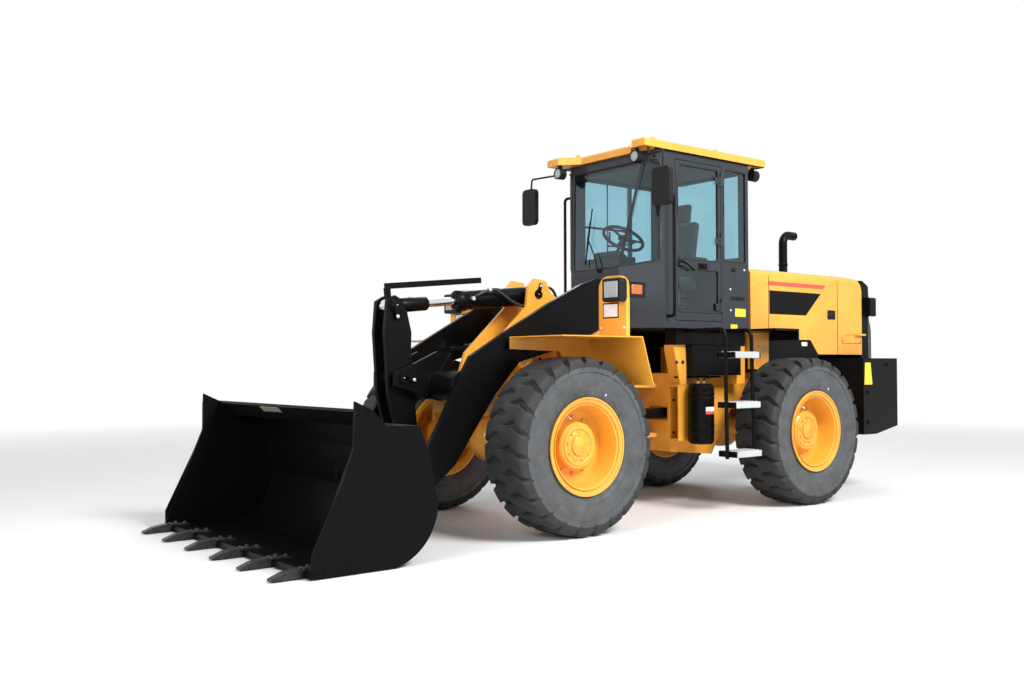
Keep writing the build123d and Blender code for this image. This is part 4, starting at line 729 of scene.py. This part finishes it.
def screen(y, z, out):
    """A point on the leaning screen, or out in front of it."""
    return (290 - 0.166 * max(z - 2100, 0) + out, y, z)


def make_cab_trim():
    piece = Piece("cab_trim")
    piece.paint("gasket")
    for side in (1, -1):
        seal(piece, [nose(along, z, side) for along, z in ((34, 2190), (383, 2140), (172, PANE_TOP),
                                                           (34, PANE_TOP))])
        wall_seal(piece, side * PANE, (-762, 2225), (-1078, PANE_TOP))
    wall_seal(piece, -PANE, (-150, 2210), (-760, PANE_TOP))
    wall_seal(piece, -PANE, (-190, 1720), (-720, 2130))
    seal(piece, [screen(y, z, -3) for y, z in ((297, 2135), (450, PANE_TOP), (-450, PANE_TOP), (-297, 2135))])
    seal(piece, [(-1107, y, z) for y, z in ((520, 2280), (-520, 2280), (-520, PANE_TOP), (520, PANE_TOP))])
    # screen wiper
    piece.paint("black")
    piece.spin([(-4, 22), (20, 20), (26, 12)], spot(screen(67, 2123, 0)[0], 67, 2118), (1, 0, 0.1), 24)
    line(piece, [screen(67, 2118, 22), screen(8, 2250, 26), screen(-121, 2425, 22)], 6, 8, 60)
    line(piece, [screen(-119, 2180, 12), screen(-119, 2704, 12)], 6, 8)
    line(piece, [screen(-119, 2300, 18), screen(-119, 2425, 24), screen(-119, 2580, 18)], 5, 8)
    # quarter panel: seam, latch, grip and fixings
    piece.paint("gasket")
    slab(piece, (-764, WALL, 2196), (-1090, WALL + 1.5, 2202), 0)
    slab(piece, (-738, WALL, 1640), (-744, WALL + 1.5, 3100), 0)
    piece.paint("plastic")
    slab(piece, (-872, WALL - 2, 2136), (-916, WALL + 14, 2170), 6)
    slab(piece, (-850, WALL - 2, 1878), (-1042, WALL + 12, 1890), 4)
    slab(piece, (-850, WALL - 2, 1890), (-1042, WALL + 3, 1908), 2)
    piece.paint("white")
    for x, z in ((-1045, 2158), (-846, 1971), (-849, 1777)):
        piece.spin([(0, 10), (3, 10), (5, 6)], spot(x, WALL, z), (0, 1, 0), 20)
    piece.paint("strip")
    pair(piece, (-912, WALL, 1721), (-1062, WALL + 1.2, 1796), 0)
    pair(piece, (-847, WALL, 1604), (-942, WALL + 1.2, 1648), 0)
    # right wall: window slider and its grips; then the mount beams under the cab, and the roof's edge
    piece.paint("black")
    slab(piece, (-449, 6 - WALL, 2214), (-461, -WALL - 2, 3066), 2)
    slab(piece, (-480, 2 - WALL, 2500), (-500, -WALL - 10, 2600), 4)
    pair(piece, (-1112, 427, 1453.5), (-168, 562.5, 1598), 3)
    pair(piece, (-1326, 630, 3146), (150, 600, 3154), 2)
    slab(piece, (-1326, 600, 3146), (-1300, -600, 3154), 2)
    # lining, rail and rear shelf inside
    piece.paint("plastic")
    slab(piece, (-1085, 560, 3088), (92, -560, 3108), 4)
    slab(piece, (60, 430, 3020), (118, -430, 3090), 10)
    slab(piece, (-1085, 545, 1660), (-905, -545, 2255), 12)
    line(piece, [(-137, -596, 2612), (-150, -560, 2612), (-656, -560, 2612), (-669, -596, 2612)], 11, 10, 30)
    line(piece, [(30, y, z) for y, z in ((575, 2150), (545, 2230), (545, 2960), (575, 3040))], 11, 10, 30)
    piece.paint("cab")
    for side in (1, -1):
        side_bolts(piece, side, 532, ((-200, 1300), (-280, 1300)), 14)
    piece.finish("rear_body", "cab_paint")


def make_door_trim():
    piece = Piece("door_trim")
    piece.paint("gasket")
    wall_seal(piece, PANE, (-142, 2212), (-686, 3048))
    wall_seal(piece, PANE, (-150, 1745), (-686, 2128))
    slab(piece, (-118, WALL, 2166), (-132, WALL + 1.5, 2171), 0)
    # handle and lock
    piece.paint("black")
    line(piece, [(-150, WALL + 24, 2176), (-172, WALL + 34, 2188), (-235, WALL + 36, 2160),
                 (-322, WALL + 30, 2116)], 9, 10, 20)
    slab(piece, (-140, WALL, 2140), (-210, WALL + 6, 2200), 5)
    slab(piece, (-407, WALL - 1, 2134), (-527, WALL + 6, 2186), 5)
    piece.spin([(0, 14), (10, 13), (13, 9)], spot(-466, WALL + 5, 2160), (0, 1, 0), 24)
    # hinge leaves
    piece.paint("cab")
    for z in (1800, 2400, 2950):
        slab(piece, (-700, WALL - 1, z - 32), (-640, WALL + 7, z + 32), 3)
        side_bolts(piece, 1, WALL + 7, [(x, z + step) for x in (-655, -685) for step in (15, -15)], 6)
    # inner rail and grip
    piece.paint("plastic")
    slab(piece, (-160, 574, 2140), (-640, 560, 2200), 6)
    line(piece, [(-200, 574, 2230), (-200, 540, 2240), (-560, 540, 2240), (-560, 574, 2230)], 10, 10, 20)
    piece.finish("door_body", "cab_paint")


def make_cab_inside():
    upright = Matrix(((-0.137, 0.0, 0.990), (0.0, -1.0, 0.0), (0.990, 0.0, 0.137)))
    cushion("seat_cushion", (-575, 0, 2048), (500, 470, 112), Matrix.Identity(3), 0.016, (-0.45, 0.05, 0.5))
    cushion("seat_back", (-812, 0, 2352), (585, 440, 100), upright, 0.018, (-0.5, -0.1, 0.35))
    cushion("seat_head", (-848, 0, 2730), (185, 255, 72), upright, 0.012, ())
    piece = Piece("seat_base")
    piece.paint("black")
    slab(piece, (-765, 185, 1632), (-435, -185, 1670), 8)
    slab(piece, (-790, 215, 1940), (-390, -215, 1992), 10)
    # bellows
    piece.paint("hose")
    for z in range(1672, 1938, 38):
        slab(piece, (-748, 172, z), (-452, -172, z + 34), 16)
    # arm rests
    piece.paint("plastic")
    pair(piece, (-780, 225, 2180), (-520, 275, 2225), 18)
    pair(piece, (-800, 235, 2080), (-765, 262, 2200), 8)
    piece.finish("rear_body", "seat_fabric", replaces=("cab_seat",))

    # dash with four dials
    piece = Piece("cab_controls")
    tilt = Matrix.Rotation(math.radians(-28), 3, "Y")
    piece.paint("plastic")
    face = spot(95, 0, 2262)
    slab(piece, (40, 165, 2236), (150, -165, 2288), 16, tilt, face)
    piece.paint("white")
    normal = tilt @ Vector((0, 0, 1))
    for y in (-105, -35, 35, 105):
        place = face + normal * 0.0262 + Vector((0, y / 1000, 0))
        piece.ring([(0, 26), (2, 26), (2, 23.5), (0, 23.5)], place, normal, 32)
        piece.spin([(0, 2), (3, 1.6)], place, normal, 10)
    # wheel centre, column and stalks
    piece.paint("plastic")
    axis = Matrix.Rotation(math.radians(-30), 3, "Y") @ Vector((0, 0, 1))
    piece.spin([(-10, 48), (10, 46), (20, 36), (23, 0)], spot(-75, 0, 2440), axis, 40)
    for side in (1, -1):
        line(piece, [(-30, side * 20, 2365), (-40, side * 95, 2375), (-48, side * 160, 2385)], 6, 8, 30)
        piece.spin([(0, 9), (30, 10), (36, 6)], spot(-46, side * 145, 2383), (-0.1, side, 0.1), 16)
    # lift and tilt levers on the right console, with a row of switches
    for x in (-345, -430):
        line(piece, [(x, -345, 2148), (x + 8, -345, 2230), (x + 30, -338, 2300)], 8, 10, 40)
        piece.spin([(0, 12), (20, 22), (45, 24), (62, 15), (66, 0)], spot(x + 28, -339, 2296), (0.3, 0.08, 1),
                   24)
    piece.paint("red")
    slab(piece, (-520, -330, 2148), (-550, -360, 2166), 4)
    piece.paint("black")
    for x in range(-585, -695, -22):
        slab(piece, (x, -320, 2146), (x - 15, -352, 2160), 3)
    # pedals
    for y in (-120, 110):
        slab(piece, (5, y - 45, 1735), (30, y + 45, 1860), 6, Matrix.Rotation(math.radians(24), 3, "Y"),
             spot(18, y, 1790))
        line(piece, [(20, y, 1790), (120, y, 1830), (130, y, 1900)], 8, 8, 20)
    piece.finish("rear_body", "trim_plastic")


LAMP_Z = 3.077    # the middle of the work lamps, in metres


def make_mirrors_and_lamps():
    """The lenses of the cab's work lamps, front and rear, and the glass of the two mirrors."""
    low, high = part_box("work_lamps")
    piece = Piece("cab_lamp_lenses")
    for x, out, reach in ((high.x, 1, 0.505), (low.x, -1, 0.540)):
        for y in (reach, -reach):
            piece.paint("plastic")
            piece.ring([(-6, 53), (4, 54), (6, 52), (6, 44), (-6, 44)], (x, y, LAMP_Z), (out, 0, 0), 40)
            piece.paint("clear_lens")
            piece.spin([(-1, 46), (2, 44), (4.5, 30), (5.5, 0)], (x, y, LAMP_Z), (out, 0, 0), 40)
    for x, y0, y1, z0, z1 in ((278, 766, 930, 2628, 2912), (232, -1027, -868, 2658, 2972)):
        piece.paint("gasket")
        seal(piece, [(x, y0, z0), (x, y1, z0), (x, y1, z1), (x, y0, z1)], 5, 30)
        piece.paint("mirror")
        slab(piece, (x - 1.5, y0, z0), (x + 1, y1, z1), 1.2)
    piece.finish("rear_body", "lamp_plastic")


def make_front_lamps():
    piece = Piece("front_lamp_lenses")
    piece.paint("plastic")
    pair(piece, (1104, 977, 1763), (1118, 1178, 1938), 13)
    pair(piece, (842, 1122, 1905), (1008, 1186, 1912), 3)
    pair(piece, (842, 1122, 1796), (1008, 1186, 1802), 3)
    piece.paint("clear_lens")
    pair(piece, (1112, 1000, 1792), (1123, 1148, 1916), 5.2)
    piece.paint("amber")
    pair(piece, (890, 1170, 1818), (1003, 1187, 1892), 6)
    # framed white plates below the lamps
    piece.paint("black")
    pair(piece, (1048, 915, 1637), (1052, 1089, 1756), 1.8)
    piece.paint("white")
    pair(piece, (1050, 925, 1647), (1053.2, 1079, 1746), 0.6)
    piece.paint("zinc")
    for y in (890, 1146, -890, -1146):
        piece.bolt(spot(1050, y, 1560), (1, 0, 0), 10)
    piece.finish("front_body", "lamp_plastic")


# ---------------------------------------------------------------- steps, tanks and rear
def make_steps():
    """Treads with raised rings; they draw in as the ladder goes down."""
    piece = Piece("step_treads")
    piece.paint("grip")
    for y in (1000, -1000):
        for z in (1360, 930, 510):
            share = (1583 - z) / 1100
            x0, x1 = -650 - 30 * share + 17, -300 - 20 * share - 17
            slab(piece, (x0, y - 97, z - 26), (x1, y + 97, z + 27), 4)
            for row in (-60, -20, 20, 60):
                for k in range(8):
                    place = spot(x0 + (x1 - x0) * (k + 0.5) / 8, y + row, z + 27)
                    piece.ring([(0, 11), (4, 9), (4, 6), (0, 6)], place, (0, 0, 1), 12)
    piece.finish("rear_body", "black_paint")


def tank_band(piece, side, foot, low, high):
    """A printed band on the tank's outer face, 56 degrees wide."""
    rows = []
    for z in (low, high):
        turns = [math.radians(90 - 28 + 56 * k / 12) for k in range(13)]
        arms = [Vector((math.cos(turn), math.sin(turn) * side, 0)) * 0.1162 for turn in turns]
        rows.append([piece.bm.verts.new(foot + arm + Vector((0, 0, z))) for arm in arms])
    faces = [piece.bm.faces.new((rows[0][k], rows[0][k + 1], rows[1][k + 1], rows[1][k])) for k in range(12)]
    piece._mark(faces, True)


def make_tanks():
    piece = Piece("tank_fittings")
    for side in (1, -1):
        foot = spot(-400, side * 640, 0)
        # straps, printed bands and plugs
        piece.paint("black")
        for z in (1013, 969, 733, 665):
            piece.ring([(0, 114.5), (24, 114.5), (24, 118), (0, 118)], foot + Vector((0, 0, z / 1000)),
                       (0, 0, 1), 64)
        for finish, low, high in (("white", 0.868, 0.905), ("red", 0.842, 0.868)):
            piece.paint(finish)
            tank_band(piece, side, foot, low, high)
        piece.paint("zinc")
        for turn in (0.6, 2.4):
            top = foot + Vector((math.cos(turn) * 0.05, 0, 1.108))
            piece.spin([(0, 13), (22, 13), (24, 9)], top, (0, 0, 1), 6, smooth=False)
        # pipes, and the bolts of the box behind them
        piece.paint("black")
        pipes = ([(-359, 640, 1126), (-359, 640, 1158), (-359, 560, 1172), (-359, 520, 1172)],
                 [(-437, 640, 1126), (-437, 640, 1148), (-520, 600, 1160), (-820, 505, 1166)])
        for pipe in pipes:
            line(piece, [(x, side * y, z) for x, y, z in pipe], 8, 10, 20)
        line(piece, [(-198, side * 510, 1167), (-813, side * 510, 1167)], 9, 10)
        side_bolts(piece, side, 600, [(x, z) for x in (-430, -560, -700, -840) for z in (1210, 1420)], 8)
        side_bolts(piece, side, 500, ((-193, 964), (-190, 679)), 12)
    piece.finish("rear_body", "black_paint")


REAR_X = -3300    # the counterweight's rear face


def make_rear_trim():
    piece = Piece("rear_trim")
    piece.paint("plastic")
    pair(piece, (-3186, 570, 1790), (-3194, 630, 1982), 3)
    for z0, z1, finish in ((1798, 1862, "red_lens"), (1866, 1920, "amber"), (1924, 1974, "clear_lens")):
        piece.paint(finish)
        pair(piece, (-3190, 575, z0), (-3198, 625, z1), 3)
    for side in (1, -1):
        # yellow strips on the counterweight's corner and side, its bolts and round reflectors
        piece.paint("strip")
        turn = Matrix.Rotation(-side * math.atan2(213, 330), 3, "Z")
        slab(piece, (-3283.4, side * 603, 1208), (-3281, side * 653, 1271), 0.5, turn,
             spot(-3282, side * 628, 1240))
        side_plate(piece, side, [(-2507, 1296), (-2602, 1296), (-2634, 1077), (-2496, 1077)], 930.4, 931.6)
        piece.paint("black")
        side_bolts(piece, side, 930, ((-2560, 1000), (-2560, 700), (-2900, 1280)), 17)
        for y in (250, 420):
            piece.bolt(spot(REAR_X, side * y, 1250), (-1, 0, 0), 20)
        piece.paint("red_lens")
        piece.spin([(0, 42), (5, 42), (7, 36), (7, 0)], spot(REAR_X, side * 560, 1120), (-1, 0, 0), 40)
    # number plate
    piece.paint("black")
    slab(piece, (REAR_X, 250, 980), (REAR_X - 4, -250, 1080), 1.5)
    piece.paint("white")
    slab(piece, (REAR_X - 3, 235, 992), (REAR_X - 6, -235, 1068), 1)
    # exhaust clamp and collar on the hood
    piece.paint("black")
    origin = spot(-2450, 0, 0)
    piece.ring([(0, 46), (0, 85), (6, 85), (16, 56), (30, 46)], origin + Vector((0, 0, 2.190)), (0, 0, 1), 48)
    piece.ring([(0, 44.5), (0, 49), (28, 49), (28, 44.5)], origin + Vector((0, 0, 2.33)), (0, 0, 1), 48)
    piece.bolt(origin + Vector((0.03, 0.052, 2.344)), (1, 0, 0), 6)
    # tow pin
    piece.paint("zinc")
    piece.spin([(0, 30), (6, 34), (20, 34), (26, 28)], spot(-3220, 0, 985), (0, 0, 1), 32)
    line(piece, [(-3220, 30, 1012), (-3220, 32, 1050), (-3220, -32, 1050), (-3220, -30, 1012)], 6, 8, 24)
    piece.finish("rear_body", "black_paint")


def make_driveshafts():
    for name, x0, x1, body in (("driveshaft_front", 70, 330, "front_body"),
                               ("driveshaft_rear", -240, -60, "rear_body")):
        piece = Piece(name)
        piece.paint("black")
        a, b = spot(x0, 0, 865), spot(x1, 0, 865)
        piece.spin([(0, 46), (x1 - x0, 46)], a, (1, 0, 0), 40)
        piece.paint("iron")
        for place in (a, b):
            piece.spin([(-8, 68), (8, 68)], place, (1, 0, 0), 40)
            piece.bolt_circle(place + Vector((0.008, 0, 0)), (1, 0, 0), (0, 1, 0), 57, 8, 6)
        piece.finish(body, "black_paint")


# ---------------------------------------------------------------- loader linkage
LIFT_FOOT, LIFT_EYE = (500, 290, 720), (1450, 290, 1410)    # the left lift cylinder's two pins
TILT_FOOT, TILT_EYE = (1080, 0, 1866), (2440, 0, 1730)


def cylinder_line(foot, eye):
    """A cylinder's foot and eye, the direction between them, and the upward direction square to it."""
    base, top = spot(*foot), spot(*eye)
    run = (top - base).normalized()
    return base, top, run, Vector((-run.z, 0, run.x))


def make_tower_and_arms():
    """Pin ends, weld beads and bolts of the tower, the arms and the bellcrank."""
    front, arms, crank = Piece("tower_fittings"), Piece("arm_fittings"), Piece("bellcrank_fittings")
    for side in (1, -1):
        keeper(front, 620, 1800, 440, side, 2.2)
        keeper(front, 1087, 1873, 165, side, 1.9, 70)
        keeper(arms, 1450, 1410, 520, side, 0.7)
        keeper(arms, 2660, 300, 530, side, 1.9)
        keeper(arms, 2400, 1180, 155, side, 3.3, 88)
        keeper(crank, 2440, 1730, 112, side, -1.65, 84)
        keeper(crank, 2285, 550, 98, side, 1.5, 60)
        # weld beads where the cross tube meets the arms and the cheeks
        arms.paint("black")
        for y, out in ((479, -side), (156, side)):
            arms.ring([(0, 108), (11, 108), (0, 119)], spot(2070, side * y, 1120), (0, out, 0), 64)
        bead(arms, side, 155, ((1970, 1372), (2138, 1143), (2205, 1030)), 6)
        # tower seams and bolts
        front.paint("yellow")
        bead(front, side, 441, ((740, 1480), (1180, 1480)), 6)
        front.paint("zinc")
        side_bolts(front, side, 440, ((930, 1180), (1050, 1180), (1170, 1180)), 13)
    # pipes beside the tilt cylinder
    front.paint("hose")
    for y in (150, -150):
        pipe = ((1010, 1935), (930, 1930), (882, 1880), (860, 1780), (800, 1650))
        line(front, [(x, y, z) for x, z in pipe], 12, 12, 50)
    front.finish("front_body", "yellow_paint")
    arms.finish("lift_arm_body", "black_paint")
    crank.finish("bellcrank_body", "black_paint")


def make_tilt_cylinder():
    barrel, rod = Piece("tilt_barrel_fittings"), Piece("tilt_rod_fittings")
    base, top, run, over = cylinder_line(TILT_FOOT, TILT_EYE)
    barrel.paint("black")
    barrel.ring([(0, 34), (0, 76), (6, 86), (80, 86), (90, 80), (96, 50), (96, 34)], base + run * 0.650, run,
                64)
    barrel.ring([(0, 78), (0, 84), (30, 84), (30, 78)], base + run * 0.30, run, 64)
    barrel.paint("zinc")
    barrel.spin([(0, 18), (30, 18), (32, 14)], base + run * 0.625 + Vector((0, 0.074, 0.01)), (0, 1, 0), 6,
                smooth=False)
    barrel.ring([(0, 12), (0, 19), (30, 19), (30, 12)], spot(1560, 104, 1884), (-1, 0, 0.3), 20)
    barrel.paint("hose")
    line(barrel, [(1694, 100, 1826), (1600, 104, 1872), (1501, 104, 1902), (1400, 106, 1850),
                  (1300, 112, 1790), (1200, 116, 1762), (1120, 118, 1780), (1092, 118, 1830)], 13, 12, 60)
    barrel.finish("tilt_barrel_body", "black_paint")
    rod.paint("black")
    rod.ring([(0, 31), (0, 50), (10, 56), (250, 56), (280, 50), (290, 31)], top - run * 0.345, run, 48)
    rod.paint("zinc")
    rod.bolt(top - run * 0.20 + over * 0.056, over, 11)
    rod.finish("tilt_rod_body", "black_paint")


def make_lift_cylinders():
    for side, word in ((1, "left"), (-1, "right")):
        base, top, run, over = cylinder_line(*((x, side * y, z) for x, y, z in (LIFT_FOOT, LIFT_EYE)))
        piece = Piece("lift_barrel_fittings_" + word)
        piece.paint("yellow")
        piece.ring([(0, 36), (0, 79), (55, 79), (62, 72), (66, 36)], base + run * 0.960, run, 56)
        piece.ring([(0, 72), (0, 77), (25, 77), (25, 72)], base + run * 0.35, run, 56)
        piece.paint("zinc")
        piece.spin([(0, 16), (26, 16)], base + run * 0.93 + over * 0.070, over, 6, smooth=False)
        piece.paint("black")
        pipe = ((0.93, 0.088), (0.90, 0.100), (0.20, 0.100), (0.12, 0.075))
        piece.tube([base + run * along + over * off for along, off in pipe], 0.010, 10, 0.03)
        piece.finish("lift_barrel_body_" + word, "yellow_paint")


def make_bucket_fittings():
    """A pale plate on the back, welded plates on the sides, and bolted plates behind the teeth."""
    bucket = Piece("bucket_fittings")
    bucket.paint("card")
    slab(bucket, (3261, -407, 954), (3311, -106, 959), 1, Matrix.Rotation(-0.775, 3, "Y"),
         spot(3286, -256, 956.5))
    bucket.paint("bucket")
    outline = [(3424, 988), (3423, 766), (3506, 579), (3716, 150), (3716, 40), (3630, 40), (3634, 128),
               (3436, 540), (3352, 740), (3352, 988)]
    for side in (1, -1):
        side_plate(bucket, side, outline, 1223.5, 1231.5, 2)
        bead(bucket, side, 1226, ((3352, 985), (3352, 742), (3436, 540), (3634, 128), (3630, 40)), 4)
    bucket.paint("steel_edge")
    for k in range(6):
        y = -1108 + 443.2 * k
        slab(bucket, (3575, y - 36, 40), (3725, y + 36, 62), 6, Matrix.Rotation(math.radians(-6), 3, "Y"),
             spot(3650, y, 52))
        for x, z in ((3605, 57), (3675, 64)):
            bucket.bolt(spot(x, y, z), (-0.1, 0, 1), 15)
    bucket.finish("bucket_body", "black_paint")


# ---------------------------------------------------------------- stage
FLOOR_RADIUS = 90.0
FADE = (4.5, 16.0)    # how far out the floor starts and ends fading


def make_floor():
    """A wide pale floor that the camera sees fade into the backdrop."""
    mesh = bpy.data.meshes.new("floor")
    bm = bmesh.new()
    bmesh.ops.create_circle(bm, cap_ends=True, segments=96, radius=FLOOR_RADIUS)
    bm.to_mesh(mesh)
    bm.free()
    floor = bpy.data.objects.new("floor", mesh)
    scene.collection.objects.link(floor)
    floor.location.z = cad_low.z - 0.0005
    sheet = Sheet(bpy.data.materials.new("studio_floor"))
    grain = sheet.noise(1.4, 3.0)
    sheet.use(sheet.mix(grain, (0.76, 0.765, 0.775), (0.80, 0.80, 0.80)),
              sheet.spread(grain, 0.3, 0.7, 0.7, 0.85))
    distance = sheet.node("VectorMath", {0: sheet.place()}, operation="LENGTH")
    far = sheet.spread(distance.outputs["Value"], *FADE)
    seen = sheet.node("LightPath").outputs["Is Camera Ray"]
    sheet.blend(sheet.times(far, seen), sheet.node("Emission"))
    mesh.materials.append(sheet.owner)


def make_world():
    """A soft sky that lights the machine, and a white one that the camera, glass and shiny paint see."""
    world = bpy.data.worlds.new("studio")
    scene.world = world
    sheet = Sheet(world, "Background", "World Output")
    sheet.fill(sheet.shader, {"Color": (0.93, 0.96, 1.0), "Strength": 0.42})
    ray = sheet.node("LightPath").outputs
    seen = sheet.math("MAXIMUM", sheet.math("MAXIMUM", ray["Is Camera Ray"], ray["Is Transmission Ray"]),
                      ray["Is Glossy Ray"])
    sheet.blend(seen, sheet.node("Background", {"Color": (1.0, 1.0, 1.0), "Strength": 1.0}))


def make_light(name, place, aim, size, power, colour=(1.0, 1.0, 1.0)):
    data = bpy.data.lights.new(name, "AREA")
    data.shape = "SQUARE"
    data.size = size
    data.energy = power
    data.color = colour
    light = bpy.data.objects.new(name, data)
    scene.collection.objects.link(light)
    light.location = place
    light.rotation_mode = "QUATERNION"
    light.rotation_quaternion = (Vector(aim) - Vector(place)).to_track_quat("-Z", "Y")
    light.visible_transmission = False


make_tyres()
make_wheel_fittings()
make_hood_trim()
make_cab_trim()
make_door_trim()
make_cab_inside()
make_mirrors_and_lamps()
make_front_lamps()
make_steps()
make_tanks()
make_rear_trim()
make_driveshafts()
make_tower_and_arms()
make_tilt_cylinder()
make_lift_cylinders()
make_bucket_fittings()
make_floor()
make_world()
make_light("key", (-0.5, 8.5, 8.0), (-0.3, 0.0, 1.0), 4.0, 1600.0, (1.0, 0.98, 0.95))
make_light("fill", (9.0, 3.0, 4.0), (0.5, 0.0, 1.0), 5.0, 500.0)
make_light("back", (-6.0, -7.0, 6.0), (-0.5, 0.0, 1.0), 5.0, 350.0)

scene.view_settings.view_transform = "Standard"
